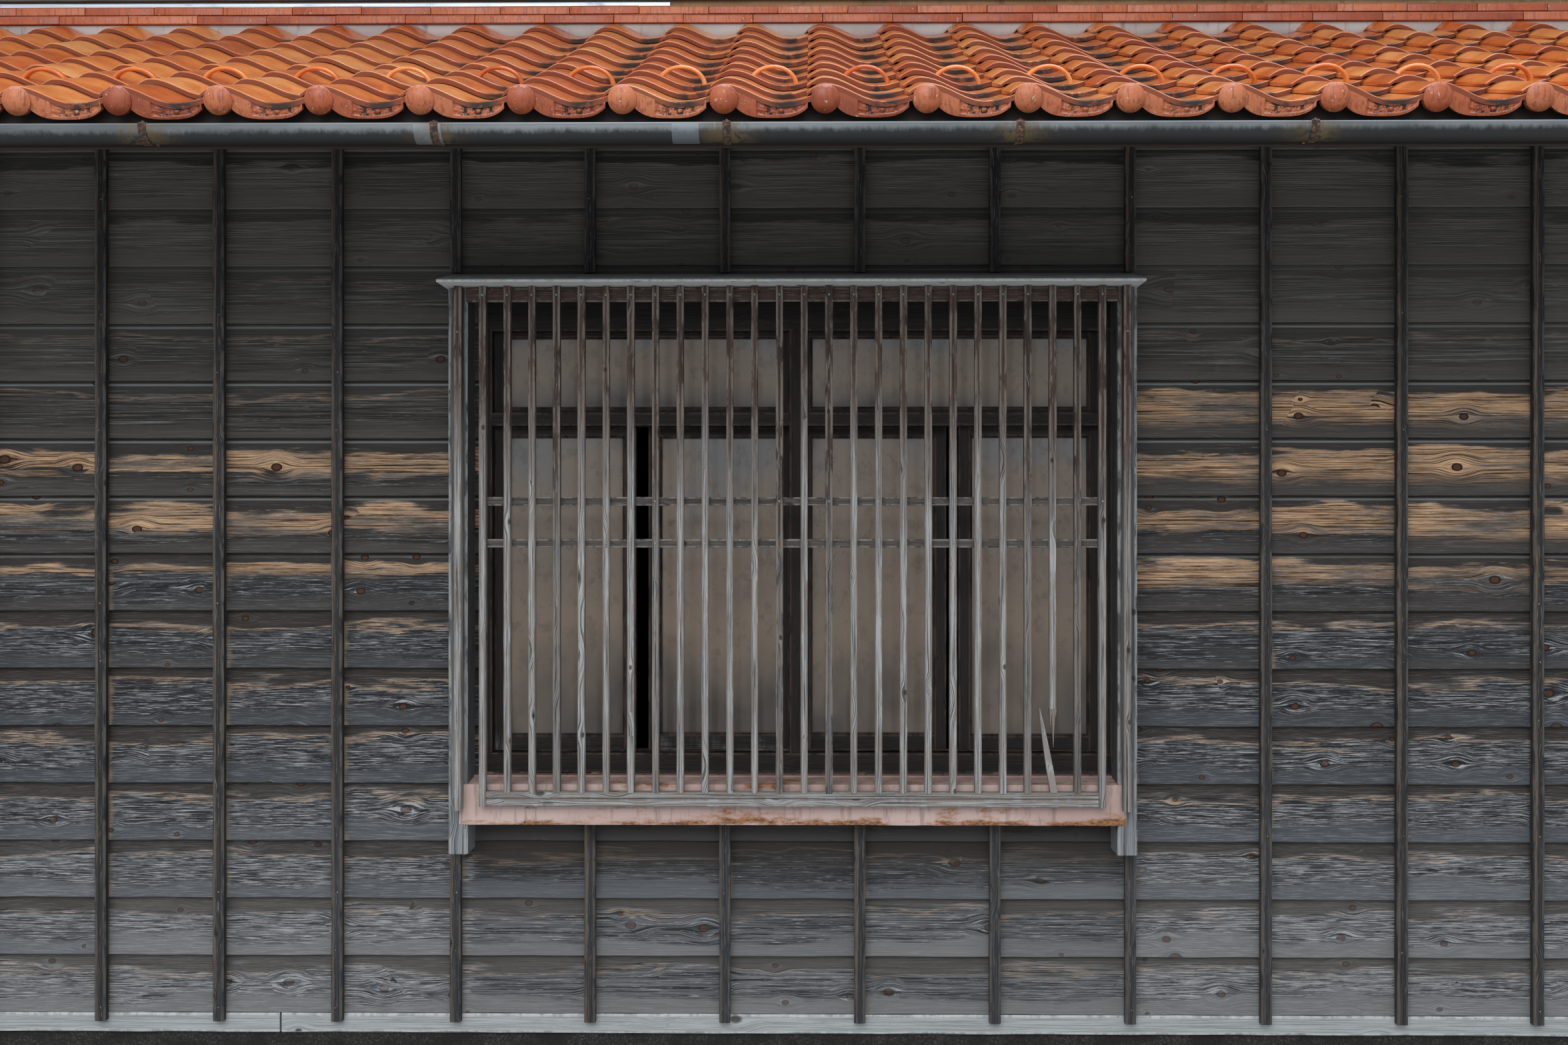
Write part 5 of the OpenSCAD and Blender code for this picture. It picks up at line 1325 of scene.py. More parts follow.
def scroll_paths():
    """Middle lines of the raised scrolls, x from the middle of the panel and z over its centre:
    two curls on either side of a small boss."""
    paths = []
    for side in (-1, 1):
        for middle, radius, start, turns, lean in ((0.020, 0.0095, 200, 1.35, 1),
                                                   (0.045, 0.0085, 20, 1.35, -1)):
            path = []
            for n in range(26):
                t = n / 25
                a = math.radians(start + lean * 360 * turns * t)
                r = radius * (1 - 0.80 * t)
                path.append((side * (middle + r * math.cos(a)), 0.0005 + r * math.sin(a)))
            paths.append(path)
        paths.append([(side * (0.011 + 0.050 * t / 9), -0.0085 + 0.004 * math.sin(t * 0.9))
                      for t in range(10)])
    return paths


def pendant_mesh(scrolls):
    """Hanging face below a pan: a sunk panel with raised scrolls, its lower edge a shallow bow."""
    piece = Piece("pendant")
    x0, x1 = BALL_D / 2 - 0.006, PITCH - ROLL_LEFT + 0.002
    columns, rows = (64, 15) if scrolls else (26, 7)
    paths = [p for path in scroll_paths() for p in path] if scrolls else []
    front, back = [], []
    for i in range(columns + 1):
        x = x0 + (x1 - x0) * i / columns
        f = 2 * i / columns - 1
        top = tile_height(x) + TILE_T - 0.004
        low = TILE_T - PENDANT_H + 0.020 * f ** 4 + 0.006 * f * f
        line = []
        for j in range(rows + 1):
            z = low + (top - low) * j / rows
            # Distance into the panel from its border, and its floor behind the border.
            beside = x - PANEL_MID
            inward = min(PANEL_HALF - abs(beside), z - low - 0.0075, top - z - 0.0020)
            floor = PANEL_SUNK * min(1.0, max(0.0, inward / 0.0022))
            relief = 0.0
            if paths and inward > 0:
                centre = (low + top) / 2 + 0.0005
                gap = min((beside - px) ** 2 + (z - centre - pz) ** 2 for px, pz in paths) ** 0.5
                boss = math.hypot(beside, (z - centre) * 1.1)
                relief = max(SCROLL_HIGH * max(0.0, 1 - (gap / SCROLL_R) ** 2),
                             PANEL_SUNK * max(0.0, 1 - (boss / BOSS_R) ** 2))
            bow = 0.0016 * (1 - ((z - low) / (top - low) * 2 - 1) ** 2)
            y = max(floor - relief, 0.0) - (bow if inward < 0 else 0) + 0.0016
            grime = 1.0 if inward > 0 and relief < 0.0012 and abs(beside) < 0.045 else 0.0
            line.append(piece.point((x, y, z), worn=grime))
        front.append(line)
        back.append([piece.point((x, PENDANT_T, low)), piece.point((x, PENDANT_T, top))])
    for i in range(columns):
        for j in range(rows):
            piece.faces.append((front[i][j], front[i + 1][j], front[i + 1][j + 1], front[i][j + 1]))
        piece.faces.append((front[i][rows], front[i + 1][rows], back[i + 1][1], back[i][1]))
        piece.faces.append((back[i][0], back[i + 1][0], front[i + 1][0], front[i][0]))
        piece.faces.append((back[i][1], back[i + 1][1], back[i + 1][0], back[i][0]))
    for i in (0, columns):
        piece.faces.append(tuple(front[i]) + (back[i][1], back[i][0]))
    piece.finish_of = [0] * len(piece.faces)
    return piece


def eave_face_mesh(scrolls=True):
    """Bun and pendant of one eave tile, as one mesh."""
    faces = [ball_mesh().built(), pendant_mesh(scrolls).built(sharp=50)]
    return loose_mesh(merged(faces))


def pent_eave_tiles(glaze, clay):
    """Eave course: pantiles, with their moulded faces before them."""
    shells = laid("eave_tiles", tile_mesh("eave_tile", COURSE_LEN + TILE_LAP, FINE_STEPS), glaze, PENT,
                  seed=21)
    faces = laid("eave_faces", eave_face_mesh(), clay, PENT, seed=21, unevenness=0.001)
    for piece in (shells, faces):
        dress(clip_ends(piece), "matt_tile", "pent_eave_tiles")


def guard_mesh():
    """Snow guard: a strap of clay arched over the pan, round in section."""
    piece = Piece("guard")
    wide, high = GUARD_W / 2 - GUARD_T / 2, GUARD_H - GUARD_T / 2
    start = math.asin((tile_height(GUARD_MID + wide) + 0.0006) / GUARD_H)
    end = math.pi - math.asin((tile_height(GUARD_MID - wide) + 0.0006) / GUARD_H)
    rings = []
    for n in range(17):
        a = start - 0.05 + (end - start + 0.10) * n / 16
        out = Vector((math.cos(a), 0, math.sin(a)))
        base = Vector((wide * math.cos(a), GUARD_D / 2, high * math.sin(a)))
        flare = 1 + 0.25 * abs(2 * n / 16 - 1) ** 4
        ring = []
        for t in round_turn(10):
            c, s = math.cos(t), math.sin(t)
            reach = (abs(c) ** 3 + abs(s) ** 3) ** (-1 / 3)
            ring.append(piece.point(base + out * (GUARD_T / 2 * c * reach * flare)
                                    + Vector((0, GUARD_D / 2 * s * reach, 0))))
        rings.append(ring)
    piece.loft(rings)
    mesh = loose_mesh(piece.built())
    mesh.transform(Matrix.Translation((GUARD_MID, 0.012, TILE_T + SEAT)))
    return mesh


def snow_guards(glaze):
    """A row of snow guards on one course."""
    row = laid("guards", guard_mesh(), glaze, PENT, first_course=GUARD_COURSE, seed=31)
    dress(row, "matt_tile", "snow_guards")


def tile_top(x, y, course):
    """Height of a course's upper face over a place on the pent roof."""
    u = (x + HALF) % PITCH - ROLL_LEFT
    slope = SLOPE + SLOPE_GAIN * course
    base_z = EAVE_Z + RUN * (SLOPE * course + SLOPE_GAIN * course * (course - 1) / 2)
    a = math.atan(slope)
    b = a - TILE_TILT
    n = tile_height(u) + TILE_T
    s = (y - EAVE_Y - RUN * course + math.sin(a) * TILE_LIFT + math.sin(b) * n) / math.cos(b)
    return base_z + math.cos(a) * TILE_LIFT + math.sin(b) * s + math.cos(b) * n


def plaster_band(finish):
    """Plaster over the top course, scribed to its wave, with a soft hand-worked face."""
    piece = Piece("scribed_plaster")
    y0, y1 = WALL_Y - PLASTER_D, WALL_Y
    top = NOSHI_Z
    rings = []
    for x in spaced(-HALF, HALF, ACROSS * 14):
        low = min(tile_top(min(max(x, -HALF + 1e-6), HALF - 1e-6), y0, COURSES - 1) + 0.0004,
                  top - 0.008)
        puff = 0.004 + 0.003 * math.sin(x * 13) * math.sin(x * 5.3 + 1)
        ring = [(y0 + 0.006, low), (y0 + 0.0012, low + 0.005), (y0 + max(puff, 0.0) * 0.4,
                low + (top - low) * 0.5), (y0 + 0.001, top - 0.003), (y0 + 0.003, top), (y1, top),
                (y1, low + 0.02)]
        rings.append([piece.point((x, y, z)) for y, z in ring])
    piece.loft(rings)
    dress(piece.built(finish, sharp=50), "lime_plaster", "plaster_band")


def noshi_mesh():
    """Flat ridge tile: upright face, its upper arris drawn back to shed water."""
    piece = Piece("flat_tile")
    deep = PLASTER_D + NOSHI_LIP - 0.010
    gap = 0.0012
    outline = ((0.0, 0.0012), (0.0012, 0.0), (deep, 0.0), (deep, NOSHI_H - 0.001), (0.014, NOSHI_H - 0.001),
               (0.0045, NOSHI_H - 0.0055), (0.0, NOSHI_H - 0.011))
    rings = []
    for x, thin in ((gap, 0.0012), (gap + 0.002, 0.0), (PITCH / 2, 0.0), (PITCH - gap - 0.002, 0.0),
                    (PITCH - gap, 0.0012)):
        rings.append([piece.point((x, y + (thin if y < 0.02 else 0), z)) for y, z in outline])
    piece.loft(rings)
    return loose_mesh(piece.built())


def noshi_courses(clay):
    """Two courses of flat tiles, their joints staggered, the upper set back."""
    x, y = -HALF - PITCH, WALL_Y - PLASTER_D - NOSHI_LIP + 0.001
    lower = laid("flat_tiles", noshi_mesh(), clay, FLAT, start=(x + 0.055, y, NOSHI_Z), seed=51)
    upper = laid("flat_tiles_upper", noshi_mesh(), clay, FLAT,
                 start=(x + 0.150, y + 0.008, NOSHI_Z + NOSHI_H), seed=52)
    dress(clip_ends(merged([lower, upper])), "matt_tile", "noshi_courses")


def wall_strip(finish):
    """Bright cover strip at the foot of the upper wall."""
    piece, rnd, low, high = started("cover_strip", 61, "wall_flashing_strip")
    rings = []
    for x in spaced(low.x, high.x, 40):
        dent = rnd.uniform(0, 0.0008)
        ring = ((low.y + dent, low.z + 0.001), (low.y + dent, high.z - 0.004),
                (low.y + 0.004, high.z), (high.y, high.z), (high.y, low.z + 0.001))
        rings.append([piece.point((x, y, z)) for y, z in ring])
    piece.loft(rings)
    dress(piece.built(finish), "strip_metal", "wall_flashing_strip")


# ---- gutters ----

def gutter(name, node, y, z, radius, out, finish, sleeves=()):
    """Half-round gutter with a rolled front edge, closed ends and joint sleeves. out is the way
    that its bead faces: -1 to the street, 1 to the rear."""
    piece = Piece(name)
    straps = strap_places()
    stops = spaced(-HALF, HALF, 106)
    around = spaced(0, math.pi, 16)

    def near_strap(x):
        return max(math.exp(-((x - s) / 0.045) ** 2) for s in straps)

    def swept(x_list, outer, thick, bright):
        rings = []
        for x in x_list:
            ring = []
            for r, angles, inside in ((outer, around, False), (outer - thick, around[::-1], True)):
                for a in angles:
                    # How far the sheet faces down, for the painted shade on the belly.
                    drop = 0.3 if inside else math.sin(a) if a < math.pi / 2 else 1.0
                    ring.append(piece.point((x, y + out * r * math.cos(a), z - r * math.sin(a)),
                                            tone=near_strap(x), worn=bright, across=drop))
            rings.append(ring)
        piece.loft(rings)

    swept(stops, radius + GUTTER_T - 0.0003, GUTTER_T - 0.0006, 0.0)
    # The bead's upper face carries the painted highlight, less beside the straps.
    rings = []
    for x in stops:
        middle = y + out * (radius + BEAD_IN)
        rings.append([piece.point((x, middle + BEAD_D * math.cos(t), z + BEAD_D * math.sin(t)),
                                  tone=near_strap(x), across=0.0,
                                  worn=(1.0 - 0.6 * near_strap(x)) * max(0.0, math.sin(t + 0.5)))
                      for t in round_turn(12)])
    piece.loft(rings)
    for a, b in sleeves:
        swept(spaced(a, b, 6), radius + GUTTER_T + 0.0012, 0.0014, 0.22)
    for x in (-HALF, HALF - GUTTER_T):
        piece.loft([[piece.point((px, y + out * radius * math.cos(a), z - radius * math.sin(a)))
                     for a in around] for px in (x, x + GUTTER_T)])
    dress(piece.built(finish, sharp=40), "gutter_metal", node)


def strap_places():
    """Middles of the gutter straps."""
    n0 = math.ceil((-HALF + STRAP_CLEAR - STRAP_FIRST) / STRAP_BAY)
    n1 = math.floor((HALF - STRAP_CLEAR - STRAP_FIRST) / STRAP_BAY)
    return [STRAP_FIRST + STRAP_BAY * n for n in range(n0, n1 + 1)]


def strap_arm(piece, x, inner, fascia, z, tone):
    """The arm bends to the fascia, which it meets between 12 and 32 mm below the gutter's edge."""
    rings = []
    for y, top, foot in ((inner, 0.003, 0.025), ((inner + fascia) / 2, 0.0075, 0.0255),
                         (fascia, 0.012, 0.032)):
        rings.append([piece.point(p, tone=tone) for p in (
            (x - HALF_ARM, y, z - top), (x + HALF_ARM, y, z - top), (x + HALF_ARM, y, z - foot),
            (x - HALF_ARM, y, z - foot))])
    piece.loft(rings)


def gutter_straps(name, node, y, z, radius, out, arm_y, finish):
    """Forged straps round a gutter, hooked over its bead, each on an arm from the fascia."""
    rnd = random.Random(73)
    piece = Piece(name)
    wide, thick = 0.020, 0.003
    r, hook = radius + GUTTER_T + SEAT, BEAD_D + SEAT
    for x in strap_places():
        tone = rnd.random()
        # Round the belly, then over the bead: distance out, height and the way outwards.
        path = [(r * math.cos(a), -r * math.sin(a), math.cos(a), -math.sin(a))
                for a in (math.radians(180 - 162 * k / 18) for k in range(19))]
        path += [(radius + BEAD_IN + hook * math.cos(t), hook * math.sin(t), math.cos(t), math.sin(t))
                 for t in (math.radians(-25 + 175 * k / 7) for k in range(8))]
        rings = []
        for far, high, way_out, way_up in path[::-1]:
            square = Vector((0, out * way_out, way_up))
            rings.append([piece.point(Vector((x + wide * dx, y + out * far, z + high))
                                      + square * thick * dn, tone=tone)
                          for dx, dn in ((-0.5, 0.0), (0.5, 0.0), (0.5, 0.88), (0.36, 1.0),
                                         (-0.36, 1.0), (-0.5, 0.88))])
        piece.loft(rings)
        strap_arm(piece, x, y - out * r, arm_y, z, tone)
        dome(piece, (x, y + out * (radius + BEAD_IN), z + hook + thick - 0.0004), (0, 0, 1), RIVET)
    dress(piece.built(finish, sharp=40), "gutter_metal", node)


# ---- upper storey, rear and main roof ----

def upper_street_wall(boards, clay):
    """Upper street wall: clay core round the window, lapped boards over it."""
    piece, rnd, low, high = started("upper_street_wall", 81, "upper_wall")
    core_top = high.z - 0.075
    win_low, win_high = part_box("upper_window")
    z0, z1 = win_low.z - SEAT, win_high.z + SEAT
    wall_core(piece, (low.x, WALL_Y, low.z), (high.x, high.y, core_top),
              (WIN_X0 - SEAT, WIN_X1 + SEAT, z0, z1), rnd)
    rows = int((core_top - 0.02 - UPPER_BOARD_Z) / BOARD_GAUGE)
    street_boards(piece, WALL_Y, UPPER_BOARD_Z, rows, rnd, (z0, z1))
    dress(piece.built(boards, clay), "weatherboards", "upper_wall")


def rear_wall(boards, clay):
    """Rear wall: clay core round the door and windows, lapped boards over it."""
    piece, rnd, low, high = started("rear_board_wall", 82, "rear_wall")
    door_low, door_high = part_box("rear_door")
    win_low, win_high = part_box("rear_windows")
    outer = high.y - BOARD_BUTT
    holes = [(door_low.x, door_high.x, door_low.z, door_high.z),
             (win_low.x, win_high.x, win_low.z, win_low.z + REAR_WIN_H),
             (win_low.x, win_high.x, win_high.z - REAR_WIN_H, win_high.z)]
    stops = sorted({low.x, high.x} | {x for hole in holes for x in hole[:2]})
    foot = door_low.z
    rows = int((high.z - 0.03 - foot) / BOARD_GAUGE)
    for x0, x1 in zip(stops, stops[1:]):
        gaps = sorted(hole[2:] for hole in holes if hole[0] < (x0 + x1) / 2 < hole[1])
        z = low.z
        for a, b in gaps + [(high.z, high.z)]:
            if a - z > 0.02:
                timber(piece, (x0, low.y, z), (x1, outer, a), 0, rnd, 0.002, 1, 1)
            z = b
        lengths = max(1, round((x1 - x0) / 0.9))
        for n in range(lengths):
            a, b = (x0 + (x1 - x0) * k / lengths for k in (n, n + 1))
            lapped_boards(piece, a, b, outer, 1, foot, rows, rnd, gaps, 4)
    dress(piece.built(boards, clay), "weatherboards", "rear_wall")


def framed_opening(piece, low, high, side, sill, head, rnd):
    """A frame between two corners: posts, head and sill."""
    x0, y0, z0 = low
    x1, y1, z1 = high
    timber(piece, (x0, y0, z0), (x1, y1, z0 + sill), 0, rnd, ARRIS, 6)
    timber(piece, (x0, y0, z1 - head), (x1, y1, z1), 0, rnd, ARRIS, 6)
    for a, b in ((x0, x0 + side), (x1 - side, x1)):
        timber(piece, (a, y0, z0 + sill), (b, y1, z1 - head), 2, rnd, ARRIS, 6)


def post_window(piece, panes, low, high, sides, post, glass_y, rnd):
    """A frame with a post and a pane on either side of it. Sides are the widths of the frame's
    posts, sill and head; post is the middle post's left and right."""
    side, sill, head = sides
    framed_opening(piece, low, high, side, sill, head, rnd)
    timber(piece, (post[0], low[1], low[2] + sill), (post[1], high[1], high[2] - head), 2, rnd,
           ARRIS, 4)
    for a, b in ((low[0] + side, post[0]), (post[1], high[0] - side)):
        pane(panes, a + SEAT, b - SEAT, glass_y, low[2] + sill + SEAT, high[2] - head - SEAT)


def upper_window(wood, glass):
    """Window of the upper street wall, and its two panes."""
    piece, rnd, low, high = started("upper_window_frame", 83, "upper_window")
    panes = Piece("upper_panes")
    post_window(piece, panes, low, high, UP_SIDES, (MULLION_X - UP_MULLION / 2,
                                                    MULLION_X + UP_MULLION / 2),
                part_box("upper_glass")[0].y, rnd)
    dress(panes.built(glass), "obscured_glass", "upper_glass")
    dress(piece.built(wood), "joinery", "upper_window")


def upper_lattice(finish):
    """Lattice before the upper window, on short rails with posts at its ends."""
    piece, rnd, low, high = started("upper_lattice_bars", 84, "upper_lattice")
    win_low, win_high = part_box("upper_window")
    bay = (high.x - low.x - UP_POST) / (LATTICE_BARS + 1)
    for n in range(LATTICE_BARS):
        x = low.x + UP_POST / 2 + (n + 1) * bay
        timber(piece, (x - BAR_W / 2, low.y, win_low.z - 0.02),
               (x + BAR_W / 2, low.y + BAR_D, win_high.z + 0.02), 2, rnd, BAR_ARRIS, 8, wave=BAR_WAVER)
    for z0, z1 in ((low.z, win_low.z), (win_high.z, high.z)):
        timber(piece, (low.x, low.y + 0.004, z0), (high.x, high.y, z1), 0, rnd, ARRIS, 20, wave=WAVER)
    for x in (low.x, high.x - UP_POST):
        timber(piece, (x, low.y + 0.001, low.z), (x + UP_POST, high.y, high.z), 2, rnd, ARRIS, 8,
               wave=WAVER)
    dress(piece.built(finish), "lattice_timber", "upper_lattice")


def rear_windows(wood, glass):
    """Both rear windows: frames with a middle post, and their panes."""
    piece, rnd, low, high = started("rear_window_frames", 85, "rear_windows")
    panes = Piece("rear_panes")
    middle = (low.x + high.x) / 2
    for z in (low.z, high.z - REAR_WIN_H):
        post_window(piece, panes, (low.x, low.y, z), (high.x, high.y, z + REAR_WIN_H),
                    (REAR_POST,) * 3, (middle - REAR_POST / 2, middle + REAR_POST / 2),
                    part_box("rear_glass")[0].y, rnd)
    dress(panes.built(glass), "obscured_glass", "rear_glass")
    dress(piece.built(wood), "joinery", "rear_windows")


def rear_door(finish, nail):
    """Two board leaves in their frame, the right one behind: upright boards with open joints on
    three ledges."""
    piece, rnd, low, high = started("board_door", 86, "rear_door")
    framed_opening(piece, low, high, DOOR_FRAME, DOOR_FRAME, DOOR_FRAME, rnd)
    middle = (low.x + high.x) / 2
    z0, z1 = low.z + DOOR_FRAME, high.z - DOOR_FRAME
    first = DOOR_FRAME / 2
    boards, board_t = 5, 0.018
    for x0, x1, inset in ((low.x + DOOR_FRAME, middle + DOOR_LAP / 2, first),
                          (middle - DOOR_LAP / 2, high.x - DOOR_FRAME,
                           first + DOOR_LEAF + DOOR_PLAY)):
        face = high.y - inset
        back = face - DOOR_LEAF
        wide = (x1 - x0) / boards
        for n in range(boards):
            x = x0 + wide * n
            timber(piece, (x + 0.0008, face - board_t, z0), (x + wide - 0.0008, face, z1), 2, rnd,
                   0.0025, 12, wave=WAVER)
        for share in (0.04, 0.47, 0.88):
            z = z0 + (z1 - z0) * share
            timber(piece, (x0, back, z), (x1, face - board_t, z + 0.085), 0, rnd, 0.002, 4)
            for n in range(boards):
                dome(piece, (x0 + wide * (n + 0.5), face - 0.0006, z + 0.042), (0, 1, 0), DOOR_NAIL, 1)
    dress(piece.built(finish, nail), "door_boards", "rear_door")


def to_rear(piece):
    """Turns a piece of the street slope about the ridge onto the rear slope."""
    piece.data.transform(Matrix.Translation((0, 2 * RIDGE_Y, 0)) @ Matrix.Rotation(math.pi, 4, "Z"))


def main_tiles(glaze, clay):
    """Pantiles of both main slopes, and their eave courses, which stand out past the first tiles."""
    out_y, out_z = (MAIN_EAVE_OUT * f(MAIN_ANGLE) for f in (math.cos, math.sin))
    eave = dict(courses=1, first_course=0, tilt=MAIN_TILT * 0.85,
                start=(-HALF + ROLL_LEFT, MAIN_EAVE_Y - out_y, MAIN_EAVE_Z - out_z))
    for name, seed, node, eave_node, rear in (
            ("main_tiles_street", 91, "main_tiles_front", "main_eave_tiles_front", False),
            ("main_tiles_back", 95, "main_tiles_rear", "main_eave_tiles_rear", True)):
        field = laid(name, tile_mesh("main_tile", COURSE_LEN + MAIN_LAP, PLAIN_STEPS), glaze, MAIN,
                     seed=seed)
        clip_ends(field, ((0, RIDGE_Y - 0.06, 0), (0, 1, 0)))
        shell = tile_mesh("main_eave", COURSE_LEN + MAIN_LAP + MAIN_EAVE_OUT, PLAIN_STEPS)
        shells = clip_ends(laid(name + "_eave", shell, glaze, MAIN, seed=seed + 1, **eave))
        faces = clip_ends(laid(name + "_faces", eave_face_mesh(False), clay, MAIN, seed=seed + 1,
                               **eave))
        for piece, slot, solids in ((field, "glazed_tile", node), (shells, "matt_tile", eave_node),
                                    (faces, "matt_tile", eave_node)):
            if rear:
                to_rear(piece)
            dress(piece, slot, solids)


def ridge_tiers(piece, foot, rnd):
    """Tiers of flat tiles with open joints, each tier set back a little from the one below."""
    for tier in range(RIDGE_TIERS):
        z0, z1 = (foot + RIDGE_H * n / RIDGE_TIERS for n in (tier, tier + 1))
        x = -HALF - (PITCH / 2 if tier % 2 else 0)
        while x < HALF - 0.01:
            a, b = max(x, -HALF), min(x + PITCH, HALF)
            tone, nudge = rnd.random(), rnd.uniform(0, 0.0012)
            rings = []
            for px, thin in ((a + 0.001, 0.0012), (a + 0.003, 0.0), (b - 0.003, 0.0),
                             (b - 0.001, 0.0012)):
                w = RIDGE_W / 2 - 0.006 * tier - nudge - thin
                half = ((w, z0 + 0.001), (w, z1 - RIDGE_CHAMFER), (w - RIDGE_CHAMFER, z1))
                ring = [(RIDGE_Y - w, z0 + 0.001)] + [(RIDGE_Y + y, z) for y, z in half]
                ring += [(RIDGE_Y - y, z) for y, z in half[:0:-1]]
                rings.append([piece.point((px, y, z), tone=tone) for y, z in ring])
            piece.loft(rings)
            x += PITCH


def ridge_caps(piece, foot, rnd):
    """Round cap tiles end to end, each with a collar at its left end."""
    length = 2 * HALF / RIDGE_CAPS
    for n in range(RIDGE_CAPS):
        x, tone = -HALF + n * length, rnd.random()
        rings = []
        for t, k in ((0.0, 0.90), (0.012, 0.985), (0.05, 1.0), (0.10, 1.0), (0.115, 0.955), (0.5, 0.935),
                     (1.0, 0.93)):
            px = min(x + length * t, HALF - 0.0005) + (0.0005 if t == 0 else 0)
            r = RIDGE_CAP_R * k - 0.0006
            rings.append([piece.point((px, RIDGE_Y + r * math.cos(a), foot + r * math.sin(a)), tone=tone)
                          for a in spaced(0, math.pi, 24)])
        piece.loft(rings)


def ridge(clay):
    """Ridge: tiers of flat tiles round a core of clay, and the cap tiles over them."""
    piece, rnd, low, high = started("ridge_tiles", 97, "ridge")
    tier_top = high.z - RIDGE_CAP_R
    foot = tier_top - RIDGE_H
    core = RIDGE_W / 2 - 0.045
    ridge_tiers(piece, foot, rnd)
    ring = ((RIDGE_Y - core, low.z + 0.001), (RIDGE_Y, low.z + core * MAIN_SLOPE),
            (RIDGE_Y + core, low.z + 0.001), (RIDGE_Y + core, foot + 0.004),
            (RIDGE_Y - core, foot + 0.004))
    piece.loft([[piece.point((x, y, z)) for y, z in ring] for x in (-HALF + 0.002, HALF - 0.002)])
    ridge_caps(piece, tier_top, rnd)
    dress(piece.built(clay, sharp=40), "matt_tile", "ridge")


def finish_nodes(**finishes):
    """Gives CAD nodes that stay in view their finish."""
    for name, finish in finishes.items():
        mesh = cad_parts[name].data
        mesh.materials.clear()
        mesh.materials.append(finish)


# ---- camera, light and floor ----

def camera():
    """Level camera at the photograph's place, turned a little to the left of square on."""
    data = bpy.data.cameras.new("camera")
    data.lens, data.sensor_width = CAMERA_LENS, SENSOR_W
    data.sensor_fit = "HORIZONTAL"
    data.shift_x = CAMERA_SHIFT_PX / PHOTO_W
    data.clip_end = 200
    eye = bpy.data.objects.new("camera", data)
    eye.location = CAMERA_AT
    eye.rotation_euler = (math.radians(90), 0, math.radians(CAMERA_YAW))
    SCENE.collection.objects.link(eye)
    SCENE.camera = eye


def lamp(name, at, aim, size, power, colour):
    """A large soft light that faces a point."""
    data = bpy.data.lights.new(name, "AREA")
    data.shape = "RECTANGLE"
    data.size, data.size_y = size
    data.energy = power
    data.color = linear(colour)[:3]
    light = bpy.data.objects.new(name, data)
    light.location = at
    light.rotation_euler = (Vector(aim) - Vector(at)).to_track_quat("-Z", "Y").to_euler()
    SCENE.collection.objects.link(light)


def studio():
    """Pale floor, a soft pale sky all round, and large soft lights over the street."""
    world = bpy.data.worlds.new("pale_sky")
    world.use_nodes = True
    sky = world.node_tree.nodes["Background"]
    sky.inputs["Color"].default_value = linear(SKY_COLOUR)
    sky.inputs["Strength"].default_value = SKY_STRENGTH
    SCENE.world = world
    for light in LIGHTS:
        lamp(*light)
    floor = bpy.data.meshes.new("floor")
    floor.from_pydata([(FLOOR_EDGE * x, FLOOR_EDGE * y, 0) for x, y in (
        (-1, -1), (1, -1), (1, 1), (-1, 1))], [], [(0, 1, 2, 3)])
    stage = bpy.data.objects.new("floor", floor)
    floor.materials.append(new_finish("pale_matt_floor", Base_Color=linear(FLOOR_COLOUR),
                                      Roughness=0.9)[0])
    SCENE.collection.objects.link(stage)


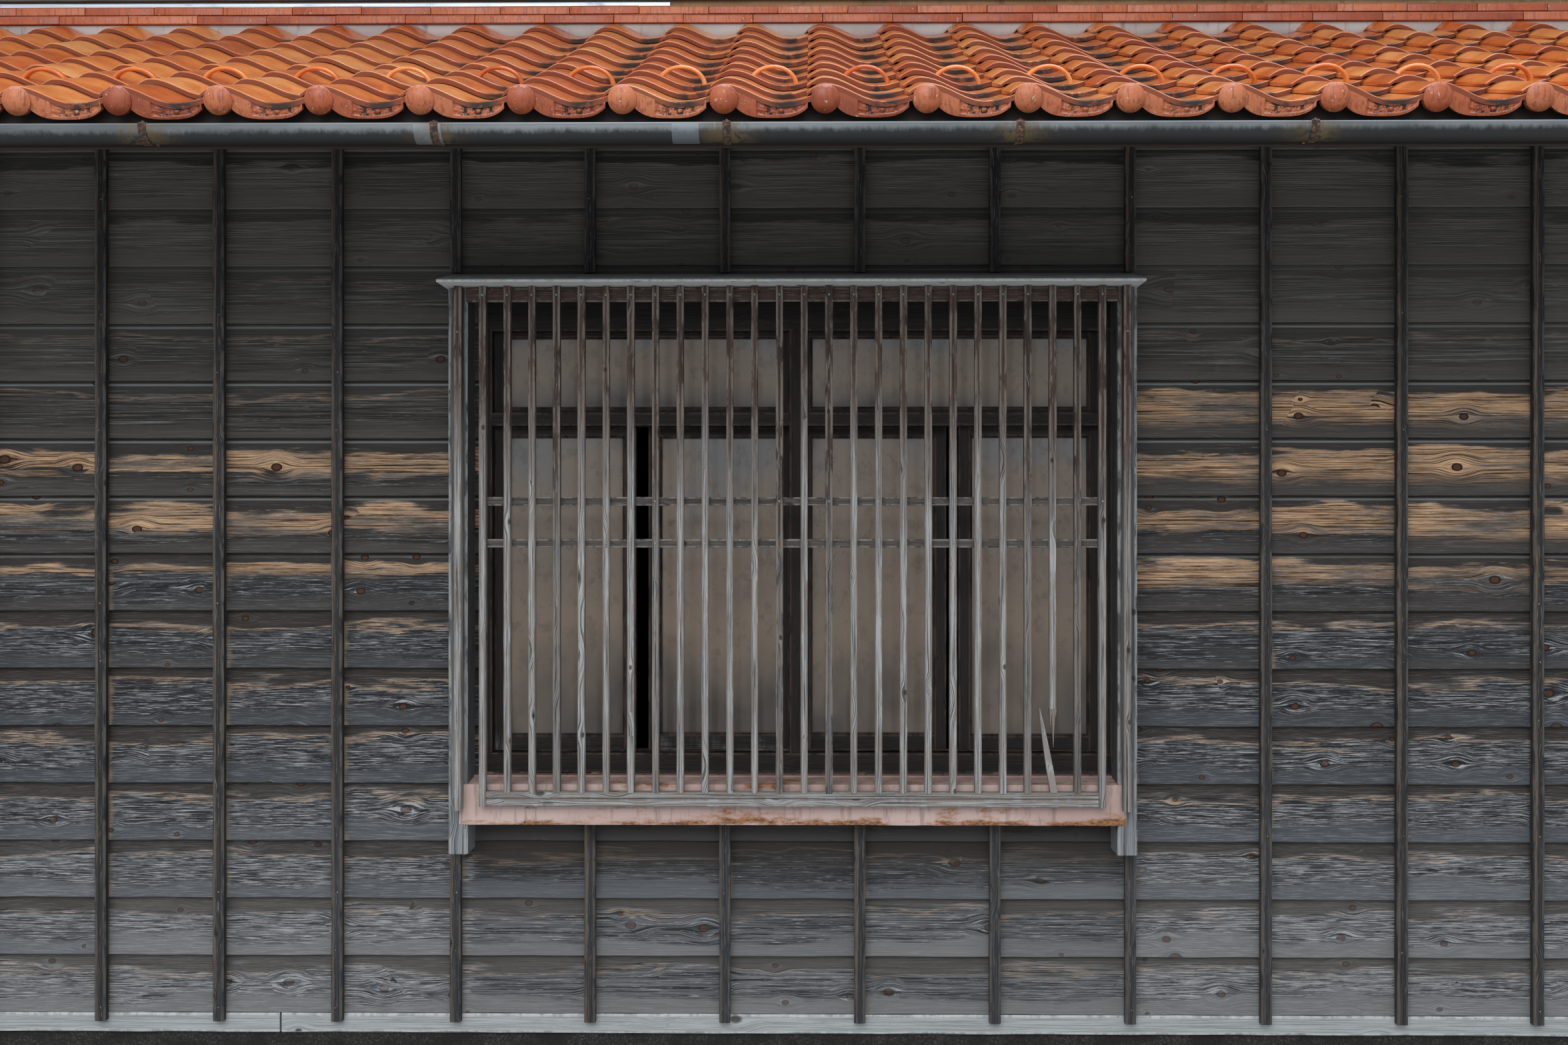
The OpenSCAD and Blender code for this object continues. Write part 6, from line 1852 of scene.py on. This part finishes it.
def build():
    """Makes the finishes and every piece."""
    marks_group()
    grain_group()
    boards = weatherboard_finish()
    batten = worn_timber("stained_batten_timber", "#2C2C2E", "#171718", "#5C5650", "#8E8F90",
                         "#3B3E42", (0.75, 1.6), "#8F7660", 0.5)
    sill = worn_timber("silvered_sill_timber", "#B6BBBD", "#8C8F8F", "#CFD2D1", "#7A6855")
    # The hood's near white colours are its weathered grey brightened as painted light against the eave's
    # shade.
    hood = worn_timber("weathered_hood_board_painted_light", "#CDCFCE", "#9FA09F", "#DADCDB", "#BFC1BF")
    jamb = worn_timber("weathered_jamb_boards", "#5C5F61", "#3C3D3F", "#A6A7A6", "#8F9193",
                       "#8D9296", (0.85, 1.7))
    bars = worn_timber("weathered_lattice_timber", "#4F3D34", "#2C221D", "#857B72", "#A5A5A4",
                       "#A8A9A9", (2.05, 2.50), None, 0.7)
    # Below 1.12 m the joinery is pale grey: the rails' grey paint, made paler as painted light against the
    # deep shade behind the lattice.
    joinery = worn_timber("dark_joinery", "#2A2522", "#171312", "#54443C", "#45403C",
                          "#A0A3A7", (1.12, 1.32))
    ties = worn_timber("dark_lattice_ties", "#55504C", "#2F2C2A", "#8C8883", "#77736F")
    roof_wood = worn_timber("sooty_roof_timber", "#38302A", "#1F1A17", "#5A4A3C", "#4A4038")
    door = worn_timber("rear_door_boards", "#5B4A3D", "#33291F", "#8C7660", "#7A7066")
    floor_wood = worn_timber("worn_floor_boards", "#7A6650", "#4E4032", "#9A8568", "#8A7A68")
    glaze, clay = glazed_tile_finish(), matt_tile_finish("salmon_moulded_clay", 0.75)
    flat_clay = matt_tile_finish("red_brown_flat_clay", 0.2)
    earth = plaster_finish("straw_clay_plaster", "#A08562", "#8A6F4E", "#6A543C", 1.6, True)
    lime = plaster_finish("aged_lime_plaster", "#B9B3B0", "#A39D9B", "#6E6763")
    metal, iron, nail, glass = gutter_finish(), iron_finish(), nail_finish(), glass_finish()
    laying_tree()

    street_wall(boards, earth)
    front_battens(batten, nail)
    front_sill(sill)
    window_hood(hood)
    window_jambs(jamb)
    window_flashing(flashing_finish(), iron)
    lattice(bars, nail, ties)
    window_frame(joinery)
    window_sashes(joinery)
    window_glass(glass)
    pent_tiles(glaze)
    pent_eave_tiles(glaze, clay)
    snow_guards(glaze)
    plaster_band(lime)
    noshi_courses(flat_clay)
    wall_strip(strip_finish())
    gutter("eave_gutter", "pent_gutter", GUTTER_Y, GUTTER_Z, GUTTER_R, -1, metal, GUTTER_SLEEVES)
    gutter_straps("gutter_straps", "gutter_hangers", GUTTER_Y, GUTTER_Z, GUTTER_R, -1,
                  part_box("gutter_hangers")[1].y, iron)
    upper_street_wall(boards, earth)
    upper_window(joinery, glass)
    upper_lattice(bars)
    rear_wall(boards, earth)
    rear_windows(joinery, glass)
    rear_door(door, iron)
    main_tiles(glaze, clay)
    ridge(flat_clay)
    for node, name, out in (("main_gutter_front", "street_gutter_above", -1),
                            ("main_gutter_rear", "rear_gutter_above", 1)):
        low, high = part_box(node)
        y = MAIN_GUTTER_Y if out < 0 else 2 * RIDGE_Y - MAIN_GUTTER_Y
        z = high.z - BEAD_D
        gutter(name, node, y, z, MAIN_GUTTER_R, out, metal)
        gutter_straps(name + "_straps", node, y, z, MAIN_GUTTER_R, out,
                      high.y if out < 0 else low.y, iron)
    finish_nodes(foundation=stone_finish(), ground_floor=floor_wood, upper_floor=floor_wood,
                 party_wall_left=earth, party_wall_right=earth, pent_roof_frame=roof_wood,
                 main_roof_frame_front=roof_wood, main_roof_frame_rear=roof_wood)


build()
camera()
studio()
SCENE.view_settings.view_transform = "Standard"
